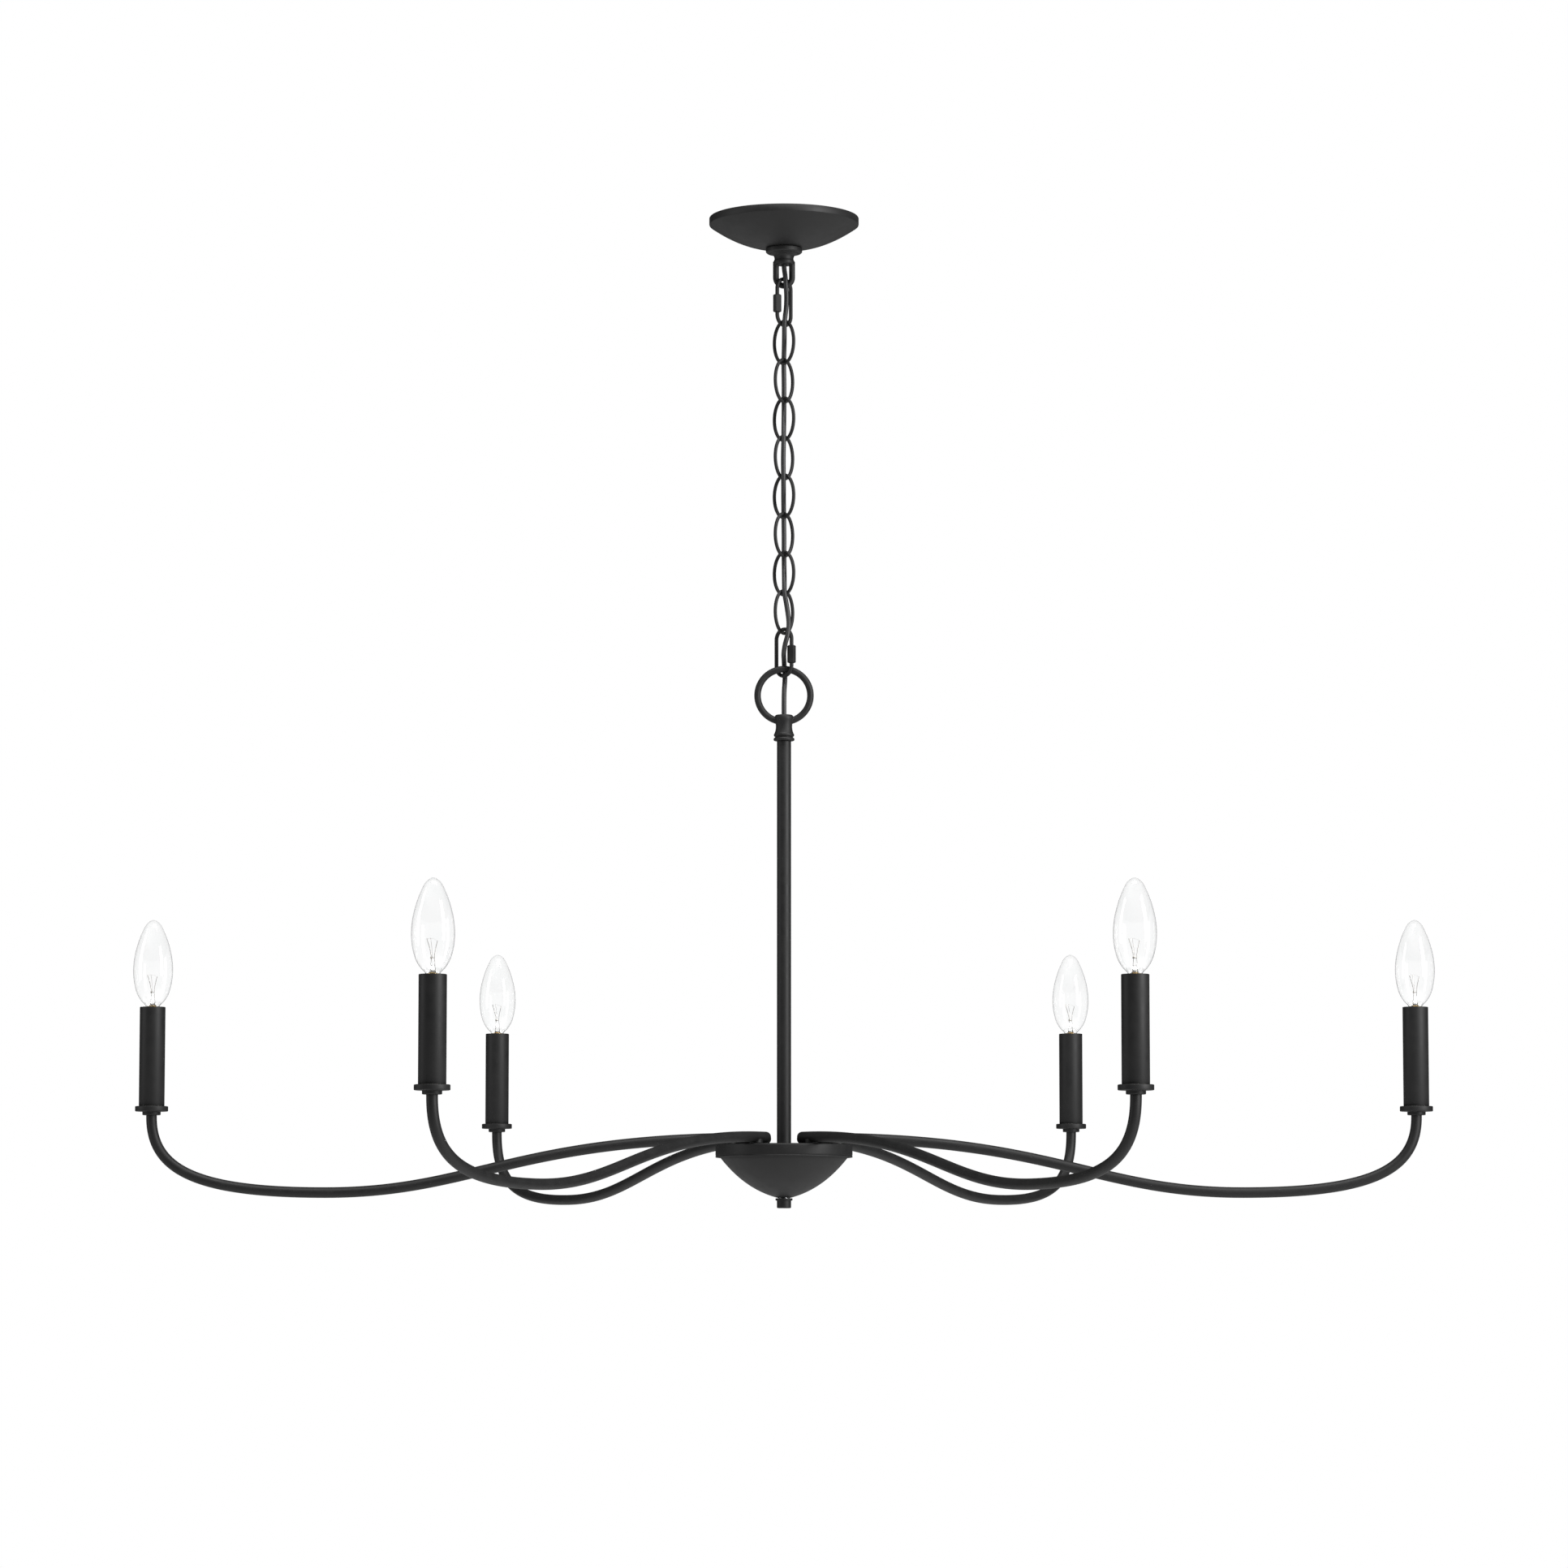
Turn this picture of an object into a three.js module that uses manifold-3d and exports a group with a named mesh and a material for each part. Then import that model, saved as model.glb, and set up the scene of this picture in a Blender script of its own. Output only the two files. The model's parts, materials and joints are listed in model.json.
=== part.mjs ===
// A six-arm candle chandelier, hung by a chain from a ceiling canopy.
// Millimetres, +Z up. The origin is on the chandelier's axis at the ceiling plane, so everything hangs below z = 0.
// Two arms lie along X, and the front of the chandelier faces -Y.
import * as THREE from "three";
import { mergeVertices } from "three/addons/utils/BufferGeometryUtils.js";
import Module from "manifold-3d";

const wasm = await Module();
wasm.setup();

// ---- Driving dimensions ----
const GAP = 0.3; // clearance between pieces that touch
const SHEET = 1.2; // wall of the spun canopy and bowl

const ARMS = 6;
const CANDLE_RADIUS = 544; // chandelier axis to candle axis
const CUP_TOP_Z = -775; // top of the drip cups, the height the candles stand at
const ARM_R = 4.6;
const ARM_INNER_R = 28; // where the arms end, beside the stem
const ARM_INNER_Z = CUP_TOP_Z - 27.3;
const ARM_LOW_R = 394; // lowest point of an arm
const ARM_LOW_Z = CUP_TOP_Z - 74.1;

const CANOPY_R = 65.3;
const CANOPY_RIM_Z = -6.2; // lower edge of the canopy's straight rim
const CANOPY_BOTTOM_Z = -26.5;
const CANOPY_HOLE_R = 13;

const COLLAR_BOTTOM_Z = -31.2;
const NECK_THREAD_R = 12.1; // threaded top of the loop, inside the collar
const BAIL_WIRE_R = 2.65;
const BAIL_HALF = 7.0; // loop axis to the middle of the bail's leg
const BAIL_BOTTOM_Z = -59.6; // middle of the wire at the bottom of the bail
const BAIL_GAP = 1.25; // room for the quick link to swing where it crosses the bail at 48 degrees
const RING_GAP = 1.2; // the same at the lower quick link and the ring

const NIPPLE_R = 4.75; // 1/8 IP lamp pipe
const NIPPLE_BORE_R = 2.7;
const BORE_R = NIPPLE_R + GAP;
const CEILING_PIPE_BOTTOM_Z = -22;

const LINK_COUNT = 8;
const LINK_WIRE_R = 1.5;
const LINK_HALF_WIDTH = 11.3; // to the middle of the wire
const LINK_TURN = THREE.MathUtils.degToRad(-42); // turn of the odd links from the XZ plane
const QUICK_WIRE_R = 1.7;
const QUICK_HALF_WIDTH = 8.8;
const QUICK_HALF_LENGTH = 20.3; // to the middle of the wire
const QUICK_NUT_LENGTH = 16.4;
const QUICK_NUT_R = 4; // across its corners, halved
const QUICK_NUT_DROP = 2; // the closed nut sits this far below the quick link's middle
const QUICK_GATE = 5.5; // gap in the quick link's side, hidden in its nut
const QUICK_GATE_RISE = 1.5; // the closed nut reaches this far below the gate

const RING_WIRE_R = 2.9;
const RING_R = 22.9; // to the middle of the wire
const RING_Z = -419.5;
const NECK_TOP_Z = -436.4;
const STEM_TOP_Z = -459.4;
const STEM_R = 6.15;

const HUB_R = 58.9;
const HUB_TOP_Z = -808.1;
const HUB_BAND = 11;
const HUB_PLATE = 1.5;
const NECK_PLUG_Z = -475; // lower end of the ring's plug, screwed into the stem
const PIPE_TOP_Z = -790; // centre pipe, from inside the stem down into the finial
const PIPE_BOTTOM_Z = -858;
const PIPE_WINDOW = { across: 5, deep: 8, high: 14, z: -833 }; // where the cord leaves the pipe
const STUD_LENGTH = 7; // below the hub plate's top
const STUD_CIRCLE_R = 46; // where each arm's stud goes through the hub plate
const STUD_R = 3;
const BOWL_RIM_R = 54.4;
const BOWL_BOTTOM_Z = -853.7;
const FINIAL_R = 6.15;
const FINIAL_BOTTOM_Z = -862.5;

const CORD_R = 2.1;

const CUP_R = 14.2;
const SLEEVE_R = 11;
const SLEEVE_HEIGHT = 85.4;
const SOCKET_R = 8.4;
const BULB_SEAT = 60; // bottom of the bulb above the drip cup
const BULB_R = 17;
const BULB_TIP = 160.4; // tip of the bulb above the drip cup

// ---- Materials ----
function paint(color, roughness, metalness) {
  return new THREE.MeshStandardMaterial({ color, roughness, metalness });
}

const blackMetal = paint(0x232325, 0.55, 0.4);
const zincSteel = paint(0xa9abae, 0.4, 0.9);
const groundGreen = paint(0x2f6b3c, 0.5, 0.6);
const cordJacket = paint(0x1d1d1e, 0.6, 0);
const socketPlastic = paint(0xd9d2c0, 0.6, 0);
const clearGlass = new THREE.MeshStandardMaterial({
  color: 0xf4f7f8,
  roughness: 0.05,
  metalness: 0,
  transparent: true,
  opacity: 0.35,
});

// ---- Shape helpers ----
function toSolid(geometry) {
  const bare = geometry.clone();
  bare.deleteAttribute("normal");
  bare.deleteAttribute("uv");
  const merged = mergeVertices(bare, 1e-4);
  const index = merged.index.array;
  const triVerts = [];
  for (let i = 0; i < index.length; i += 3) {
    const [a, b, c] = [index[i], index[i + 1], index[i + 2]];
    if (a !== b && b !== c && c !== a) triVerts.push(a, b, c);
  }
  const vertProperties = merged.getAttribute("position").array;
  const mesh = new wasm.Mesh({ numProp: 3, vertProperties, triVerts: new Uint32Array(triVerts) });
  mesh.merge();
  return new wasm.Manifold(mesh);
}

function toGeometry(manifold) {
  const mesh = manifold.getMesh();
  const geometry = new THREE.BufferGeometry();
  geometry.setAttribute("position", new THREE.BufferAttribute(mesh.vertProperties, 3));
  geometry.setIndex(new THREE.BufferAttribute(mesh.triVerts, 1));
  geometry.computeVertexNormals();
  return geometry;
}

function join(...geometries) {
  const solids = geometries.map(toSolid);
  return toGeometry(solids.reduce((sum, solid) => sum.add(solid)));
}

function cut(geometry, ...tools) {
  const solids = tools.map(toSolid);
  return toGeometry(solids.reduce((rest, tool) => rest.subtract(tool), toSolid(geometry)));
}

// A shape turned about Z from [radius, height] points that close on themselves or end on the axis.
function turned(points, segments) {
  const profile = points.map(([r, z]) => new THREE.Vector2(r, z));
  if (THREE.ShapeUtils.area(profile) < 0) profile.reverse();
  const closed = points[0][0] > 0 || points.at(-1)[0] > 0;
  if (closed) profile.push(profile[0].clone());
  return new THREE.LatheGeometry(profile, segments).rotateX(Math.PI / 2);
}

// A hollow cylinder, or a rod where the bore is 0.
function tube(outerR, boreR, lowZ, highZ, segments) {
  const outline = [
    [boreR, lowZ],
    [outerR, lowZ],
    [outerR, highZ],
    [boreR, highZ],
  ];
  return turned(outline, segments);
}

// A ring of six flats with a bore, such as a nut, with its outer edges broken.
function hexNut(boreR, cornerR, lowZ, highZ) {
  const bevel = 0.15 * cornerR;
  const outline = [
    [boreR, lowZ],
    [cornerR - bevel, lowZ],
    [cornerR, lowZ + bevel / 2],
    [cornerR, highZ - bevel / 2],
    [cornerR - bevel, highZ],
    [boreR, highZ],
  ];
  return turned(outline, 6);
}

function roundSection(radius, sides) {
  const corners = [];
  for (let i = 0; i < sides; i++) {
    const angle = ((i + 0.5) * 2 * Math.PI) / sides;
    corners.push(new THREE.Vector2(radius * Math.cos(angle), radius * Math.sin(angle)));
  }
  return new THREE.Shape(corners);
}

// A round wire along an open curve, with flat ends.
function wire(curve, radius, steps, sides) {
  const settings = { steps, extrudePath: curve, bevelEnabled: false };
  return new THREE.ExtrudeGeometry(roundSection(radius, sides), settings);
}

// A round wire along a closed curve: the extrusion without its two end caps.
function wireLoop(points, radius, steps, sides) {
  const swept = wire(new LoopCurve(points), radius, steps, sides);
  const wall = swept.groups[1];
  const all = swept.getAttribute("position").array;
  const kept = all.slice(3 * wall.start, 3 * (wall.start + wall.count));
  const loop = new THREE.BufferGeometry();
  loop.setAttribute("position", new THREE.BufferAttribute(kept, 3));
  return toGeometry(toSolid(loop));
}

function smooth(points) {
  return new THREE.CatmullRomCurve3(points, false, "centripetal");
}

// A closed curve with one and the same direction at its start and its end, so that a swept section meets itself.
class LoopCurve extends THREE.CatmullRomCurve3 {
  constructor(points) {
    super(points, true, "centripetal");
  }

  getTangent(t, target = new THREE.Vector3()) {
    const step = 1e-4;
    const behind = this.getPoint(t - step);
    return target.copy(this.getPoint(t + step)).sub(behind).normalize();
  }
}

// Points round an arc in the XZ plane, from one angle to another, both included.
function arcPoints(centreX, centreZ, radius, fromAngle, toAngle, count) {
  const points = [];
  for (let i = 0; i <= count; i++) {
    const angle = fromAngle + ((toAngle - fromAngle) * i) / count;
    const x = centreX + radius * Math.cos(angle);
    points.push(new THREE.Vector3(x, 0, centreZ + radius * Math.sin(angle)));
  }
  return points;
}

// Profile points along a quadratic curve.
function curvedProfile(start, control, end, count) {
  const curve = new THREE.QuadraticBezierCurve(
    new THREE.Vector2(...start),
    new THREE.Vector2(...control),
    new THREE.Vector2(...end),
  );
  return curve.getPoints(count).map((p) => [p.x, p.y]);
}

const chandelier = new THREE.Group();

function addPiece(name, geometry, material, parent = chandelier) {
  const mesh = new THREE.Mesh(geometry, material);
  mesh.name = name;
  parent.add(mesh);
  return mesh;
}

// ---- Ceiling fixing ----
const STRAP_LENGTH = 104;
const STRAP_WIDTH = 20;
const STRAP_THICKNESS = 2;
const BOX_SCREW_X = 44.45; // half of the 3 1/2 inch spacing of a ceiling box's screws
const BOX_SCREW_R = 2;
const GROUND_SCREW_X = 22;
const GROUND_SCREW_R = 1.7;

// The crossbar that screws to the ceiling box and carries the whole weight.
function mountingStrap() {
  const bar = new THREE.BoxGeometry(STRAP_LENGTH, STRAP_WIDTH, STRAP_THICKNESS);
  bar.translate(0, 0, -STRAP_THICKNESS / 2);
  const centreHole = tube(BORE_R, 0, -3, 1, 20);
  const screwHole = tube(BOX_SCREW_R + 0.4, 0, -3, 1, 12);
  const left = screwHole.clone().translate(-BOX_SCREW_X, 0, 0);
  const right = screwHole.clone().translate(BOX_SCREW_X, 0, 0);
  const ground = tube(GROUND_SCREW_R + GAP, 0, -3, 1, 12).translate(GROUND_SCREW_X, 0, 0);
  return cut(bar, centreHole, left, right, ground);
}

// A round-headed screw standing head down in the strap.
function strapScrew(shankR, headR) {
  const headTop = -STRAP_THICKNESS - GAP;
  const outline = [
    [0, headTop - 2.4],
    [headR * 0.6, headTop - 2.2],
    [headR, headTop - 1],
    [headR, headTop],
    [shankR, headTop],
    [shankR, -0.2],
    [0, -0.2],
  ];
  return turned(outline, 12);
}

function canopyShell() {
  const corner = [CANOPY_R - 0.7, CANOPY_RIM_Z - 0.3];
  const flare = [38, CANOPY_BOTTOM_Z + 1.5];
  const outside = [
    [CANOPY_R, 0],
    [CANOPY_R, CANOPY_RIM_Z + 0.5],
    ...curvedProfile(corner, flare, [CANOPY_HOLE_R, CANOPY_BOTTOM_Z], 6),
  ];
  const inside = outside.map(([r, z]) => {
    const reach = (r - CANOPY_HOLE_R) / (CANOPY_R - CANOPY_HOLE_R);
    return [r - SHEET * reach, z === 0 ? 0 : z + SHEET];
  });
  return turned([...outside, ...inside.reverse()], 28);
}

// The threaded ring that holds the canopy up.
function collarRing() {
  const top = CANOPY_BOTTOM_Z - GAP;
  const outline = [
    [NECK_THREAD_R + GAP, top],
    [15.9, top],
    [15.9, COLLAR_BOTTOM_Z + 1.2],
    [14.6, COLLAR_BOTTOM_Z],
    [NECK_THREAD_R + GAP, COLLAR_BOTTOM_Z],
  ];
  return turned(outline, 24);
}

// Threaded neck and bail in one casting; the lamp pipe screws into its top and the cord leaves at its lip.
function collarLoop() {
  const neck = turned(
    [
      [BORE_R, -14],
      [NECK_THREAD_R, -14],
      [NECK_THREAD_R, COLLAR_BOTTOM_Z],
      [10.8, COLLAR_BOTTOM_Z - 0.8],
      ...curvedProfile([10.4, -32.3], [8.4, -33], [8.3, -36], 3),
      [9.1, -38],
      [9.1, -40.2],
      [8, -41.2],
      [NIPPLE_BORE_R, -41.2],
      [NIPPLE_BORE_R, -24],
      [BORE_R, -23],
    ],
    16,
  );
  const legTop = -39.5;
  const bendZ = BAIL_BOTTOM_Z + BAIL_HALF;
  const path = smooth([
    new THREE.Vector3(-BAIL_HALF, 0, legTop),
    new THREE.Vector3(-BAIL_HALF, 0, bendZ + 4),
    ...arcPoints(0, bendZ, BAIL_HALF, Math.PI, 2 * Math.PI, 6),
    new THREE.Vector3(BAIL_HALF, 0, bendZ + 4),
    new THREE.Vector3(BAIL_HALF, 0, legTop),
  ]);
  return join(neck, wire(path, BAIL_WIRE_R, 16, 8));
}

// ---- Chain ----
// Odd pieces of the chain are turned one way from the XZ plane and even ones the other, each square to the last.
function chainTurn(position) {
  return position % 2 ? LINK_TURN : LINK_TURN + Math.PI / 2;
}

const QUICK_TOP_Z = BAIL_BOTTOM_Z + BAIL_WIRE_R + BAIL_GAP + QUICK_WIRE_R - QUICK_HALF_LENGTH;
const QUICK_LOW_Z = RING_Z + RING_R - RING_WIRE_R - RING_GAP - QUICK_WIRE_R + QUICK_HALF_LENGTH;
// The links share out the length between the two quick links evenly.
const QUICK_CROSSING = QUICK_WIRE_R + GAP + LINK_WIRE_R;
const LINK_CROSSING = 2 * LINK_WIRE_R + GAP;
const FIRST_LINK_TOP_Z = QUICK_TOP_Z - QUICK_HALF_LENGTH + QUICK_CROSSING;
const LAST_LINK_BOTTOM_Z = QUICK_LOW_Z + QUICK_HALF_LENGTH - QUICK_CROSSING;
const LINK_PITCH = (FIRST_LINK_TOP_Z - LAST_LINK_BOTTOM_Z - LINK_CROSSING) / LINK_COUNT;
const LINK_HALF_LENGTH = (LINK_PITCH + LINK_CROSSING) / 2;

function ovalLink() {
  const points = [];
  const corners = 16;
  for (let i = 0; i < corners; i++) {
    const angle = (i * 2 * Math.PI) / corners;
    const x = LINK_HALF_WIDTH * Math.cos(angle);
    points.push(new THREE.Vector3(x, 0, LINK_HALF_LENGTH * Math.sin(angle)));
  }
  return wireLoop(points, LINK_WIRE_R, 16, 8);
}

// An oval of wire with a gate in one long side; side is -1 or 1 for the side that has the gate and the nut.
function quickLink(side) {
  const bend = QUICK_HALF_LENGTH - QUICK_HALF_WIDTH;
  const gateBottom = QUICK_GATE_RISE - QUICK_NUT_DROP - QUICK_NUT_LENGTH / 2;
  const gateTop = gateBottom + QUICK_GATE;
  const path = smooth([
    new THREE.Vector3(-QUICK_HALF_WIDTH, 0, gateTop),
    ...arcPoints(0, bend, QUICK_HALF_WIDTH, Math.PI, 0, 8),
    new THREE.Vector3(QUICK_HALF_WIDTH, 0, 0),
    ...arcPoints(0, -bend, QUICK_HALF_WIDTH, 0, -Math.PI, 8),
    new THREE.Vector3(-QUICK_HALF_WIDTH, 0, gateBottom),
  ]);
  const body = wire(path, QUICK_WIRE_R, 26, 8);
  return side < 0 ? body : body.rotateZ(Math.PI);
}

function quickLinkNut(side) {
  const middle = -QUICK_NUT_DROP;
  const nut = hexNut(
    QUICK_WIRE_R + 0.7,
    QUICK_NUT_R,
    middle - QUICK_NUT_LENGTH / 2,
    middle + QUICK_NUT_LENGTH / 2,
  );
  return nut.translate(side * QUICK_HALF_WIDTH, 0, 0);
}

function addQuickLink(name, position, z, side) {
  const holder = new THREE.Group();
  holder.position.z = z;
  holder.rotation.z = chainTurn(position);
  chandelier.add(holder);
  addPiece(name, quickLink(side), blackMetal, holder);
  addPiece(name + "_nut", quickLinkNut(side), blackMetal, holder);
}

function addChain() {
  addQuickLink("quick_link_top", 0, QUICK_TOP_Z, -1);
  for (let i = 1; i <= LINK_COUNT; i++) {
    const link = addPiece("chain_link_" + i, ovalLink(), blackMetal);
    link.rotation.z = chainTurn(i);
    link.position.z = FIRST_LINK_TOP_Z - LINK_HALF_LENGTH - (i - 1) * LINK_PITCH;
  }
  addQuickLink("quick_link_bottom", LINK_COUNT + 1, QUICK_LOW_Z, 1);
}

// ---- Cord ----
// It leaves the ceiling pipe, weaves in front of and behind the chain, and runs down the stem into the hub.
const CORD_ROUTE = [
  [0, 0, -1],
  [0, 0, -20],
  [0, 0, -36],
  [0, -0.1, -42],
  [0.4, -1.3, -46.5],
  [0.9, -3.5, -50.5],
  [1.3, -5.4, -54.8],
  [1.6, -6.3, -60],
  [2.2, -6.6, -69],
  [2, -6.6, -79],
  [1, -6.4, -88],
  [0.4, -6.2, -94.5],
  [0.3, -3.8, -103],
  [0.2, 0, -111],
  [0, 3.8, -119],
  [-0.2, 6.2, -128],
  [0, 6.4, -145],
  [0, 6.2, -162],
  [0, 3.8, -170],
  [-0.1, 0, -178],
  [-0.2, -3.8, -187],
  [-0.3, -6.4, -196],
  [-0.6, -6.8, -212.5],
  [-0.5, -6.5, -229],
  [-0.4, -3.8, -238],
  [-0.4, 0, -246],
  [-0.3, 3.8, -254],
  [-0.2, 6.2, -263],
  [0, 6.4, -280],
  [0, 6.2, -297],
  [0.1, 3.8, -305],
  [0.2, 0, -313],
  [0.3, -3.8, -322],
  [0.5, -6.2, -330.5],
  [2.8, -7, -345],
  [4.4, -8.8, -358],
  [4.2, -10.4, -368],
  [1.6, -10.4, -376],
  [-0.2, -5.4, -383.5],
  [0, 0.4, -388.5],
  [0.3, 5, -394],
  [0.8, 6.6, -400],
  [0.7, 4.6, -407],
  [0.2, 1.4, -415],
  [0, 0, -424],
  [0, 0, -440],
  [0, 0, -520],
  [0, 0, -600],
  [0, 0, -680],
  [0, 0, -760],
  [0, 0, -828],
];

function supplyCord() {
  const route = CORD_ROUTE.map(([x, y, z]) => new THREE.Vector3(x, y, z));
  return wire(smooth(route), CORD_R, 78, 8);
}

// ---- Centre ----
// Ring and turned neck in one casting, with a plug that screws into the stem.
function ringLoop() {
  const points = [];
  const corners = 12;
  for (let i = 0; i < corners; i++) {
    const angle = (i * 2 * Math.PI) / corners;
    points.push(new THREE.Vector3(RING_R * Math.cos(angle), 0, RING_R * Math.sin(angle)));
  }
  const ring = wireLoop(points, RING_WIRE_R, 24, 8).translate(0, 0, RING_Z);
  const neck = turned(
    [
      [0, NECK_PLUG_Z],
      [NIPPLE_R, NECK_PLUG_Z],
      [NIPPLE_R, STEM_TOP_Z + GAP],
      [8.6, STEM_TOP_Z + GAP],
      [9.1, -457.8],
      [8.6, -456.4],
      [8.4, -455.6],
      [8.6, -454.6],
      [8.6, -452.6],
      ...curvedProfile([8, -451.4], [6.6, -447], [8, -441.5], 4),
      [8.2, NECK_TOP_Z - 1],
      [7.4, NECK_TOP_Z],
      [0, NECK_TOP_Z],
    ],
    16,
  );
  const bore = tube(NIPPLE_BORE_R, 0, NECK_PLUG_Z - 5, NECK_TOP_Z + 5, 12);
  return cut(join(ring, neck), bore);
}

function centreStem() {
  return tube(STEM_R, BORE_R, HUB_TOP_Z + GAP, STEM_TOP_Z, 24);
}

function aroundHub(geometry) {
  const copies = [];
  for (let i = 0; i < ARMS; i++) copies.push(geometry.clone().rotateZ((i * 2 * Math.PI) / ARMS));
  return copies;
}

// A shallow cap: the plate the arms stand on, with a band turned down round its edge.
function hubPlate() {
  const bandBottom = HUB_TOP_Z - HUB_BAND;
  const underside = HUB_TOP_Z - HUB_PLATE;
  const cap = turned(
    [
      [0, underside],
      [HUB_R - SHEET, underside],
      [HUB_R - SHEET, bandBottom],
      [HUB_R - 0.5, bandBottom],
      [HUB_R, bandBottom + 0.6],
      [HUB_R, HUB_TOP_Z - 0.8],
      [HUB_R - 0.8, HUB_TOP_Z],
      [0, HUB_TOP_Z],
    ],
    32,
  );
  const pipeHole = tube(BORE_R, 0, underside - 1, HUB_TOP_Z + 1, 20);
  const studHole = tube(STUD_R + GAP, 0, underside - 1, HUB_TOP_Z + 1, 12);
  studHole.translate(STUD_CIRCLE_R, 0, 0);
  return cut(cap, pipeHole, ...aroundHub(studHole));
}

// The nuts of the six arm studs, carried on one flat ring under the hub plate.
function armNutRing() {
  const ringTop = HUB_TOP_Z - HUB_PLATE - GAP;
  const ringBottom = ringTop - 1.2;
  const ring = tube(STUD_CIRCLE_R + 4, STUD_CIRCLE_R - 4, ringBottom, ringTop, 24);
  const nut = tube(5.4, 0, ringBottom - 3, ringBottom + 0.5, 6).translate(STUD_CIRCLE_R, 0, 0);
  const hole = tube(STUD_R + GAP, 0, ringBottom - 5, ringTop + 1, 12);
  hole.translate(STUD_CIRCLE_R, 0, 0);
  return cut(join(ring, ...aroundHub(nut)), ...aroundHub(hole));
}

// Lamp pipe from the stem down to the finial, with a window where the cord comes out to be split.
function centrePipe() {
  const pipe = tube(NIPPLE_R, NIPPLE_BORE_R, PIPE_BOTTOM_Z, PIPE_TOP_Z, 20);
  const pipeWindow = new THREE.BoxGeometry(PIPE_WINDOW.across, PIPE_WINDOW.deep, PIPE_WINDOW.high);
  pipeWindow.translate(0, PIPE_WINDOW.deep / 2, PIPE_WINDOW.z);
  return cut(pipe, pipeWindow);
}

function pipeNut(highZ, height) {
  return hexNut(BORE_R / Math.cos(Math.PI / 6), 8.6, highZ - height, highZ);
}

function bowlShell() {
  const rimTop = HUB_TOP_Z - HUB_PLATE - 2;
  const rimZ = HUB_TOP_Z - HUB_BAND - 0.6;
  const holeR = BORE_R + 0.2;
  const outside = [
    [BOWL_RIM_R + 2, rimTop],
    [BOWL_RIM_R + 2, rimTop - 1.5],
    ...curvedProfile([BOWL_RIM_R, rimZ], [33.2, -846.7], [holeR, BOWL_BOTTOM_Z], 6),
  ];
  const inside = outside.map(([r, z]) => {
    const depth = (rimTop - z) / (rimTop - BOWL_BOTTOM_Z);
    return [r - SHEET * (1 - depth), z + SHEET * depth];
  });
  return turned([...outside, ...inside.reverse()], 28);
}

function finialCap() {
  const top = BOWL_BOTTOM_Z - GAP;
  const outline = [
    [0, FINIAL_BOTTOM_Z],
    [FINIAL_R - 0.4, FINIAL_BOTTOM_Z],
    [FINIAL_R, FINIAL_BOTTOM_Z + 0.4],
    [FINIAL_R, top - 2],
    [7.3, top - 1.6],
    [7.3, top],
    [BORE_R, top],
    [BORE_R, PIPE_BOTTOM_Z - GAP],
    [0, PIPE_BOTTOM_Z - GAP],
  ];
  return turned(outline, 16);
}

// ---- Arms and candles, each built along +X and turned into place ----
// Where the arm's end sticks up through the drip cup, into the socket.
const ARM_TOP_Z = CUP_TOP_Z + 5;

function armPath() {
  const inner = new THREE.Vector3(ARM_INNER_R, 0, ARM_INNER_Z);
  const low = new THREE.Vector3(ARM_LOW_R, 0, ARM_LOW_Z);
  const end = new THREE.Vector3(CANDLE_RADIUS, 0, CUP_TOP_Z - 8.6);
  const fall = new THREE.CubicBezierCurve3(
    inner,
    new THREE.Vector3(ARM_INNER_R + 205, 0, ARM_INNER_Z),
    new THREE.Vector3(ARM_LOW_R - 128, 0, ARM_LOW_Z),
    low,
  );
  const rise = new THREE.CubicBezierCurve3(
    low,
    new THREE.Vector3(ARM_LOW_R + 110, 0, ARM_LOW_Z),
    new THREE.Vector3(CANDLE_RADIUS, 0, end.z - 47),
    end,
  );
  const tip = new THREE.Vector3(CANDLE_RADIUS, 0, ARM_TOP_Z);
  return smooth([...fall.getPoints(10), ...rise.getPoints(12).slice(1), tip]);
}

// The bent tube, and the stud under its inner end that goes through the hub plate.
function armTube() {
  const insideArm = ARM_INNER_Z - 2;
  const stud = tube(STUD_R, 0, HUB_TOP_Z - STUD_LENGTH, insideArm, 8).translate(STUD_CIRCLE_R, 0, 0);
  const spacer = tube(STUD_R + 2, 0, HUB_TOP_Z + GAP, insideArm, 8);
  spacer.translate(STUD_CIRCLE_R, 0, 0);
  return join(wire(armPath(), ARM_R, 26, 8), stud, spacer);
}

// Flat drip cup with the smaller washer under it, in heights above the cup's top.
function dripCup() {
  const outline = [
    [BORE_R, -7.7],
    [7.4, -7.7],
    [7.85, -7.2],
    [7.85, -4.5],
    [13.7, -4.5],
    [CUP_R, -4],
    [CUP_R, -0.5],
    [13.7, 0],
    [BORE_R, 0],
  ];
  return turned(outline, 14);
}

function candleSleeve() {
  return tube(SLEEVE_R, SLEEVE_R - 0.9, GAP, SLEEVE_HEIGHT, 14);
}

// Lamp holder: a bore at the bottom for the arm's end, and a threaded well at the top for the bulb.
function lampSocket() {
  const body = tube(SOCKET_R, 0, GAP, SLEEVE_HEIGHT - 2, 12);
  const lowerBore = tube(BORE_R, 0, -1, 5.6, 12);
  const well = tube(6.4, 0, BULB_SEAT - GAP, SLEEVE_HEIGHT, 12);
  return cut(body, lowerBore, well);
}

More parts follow.
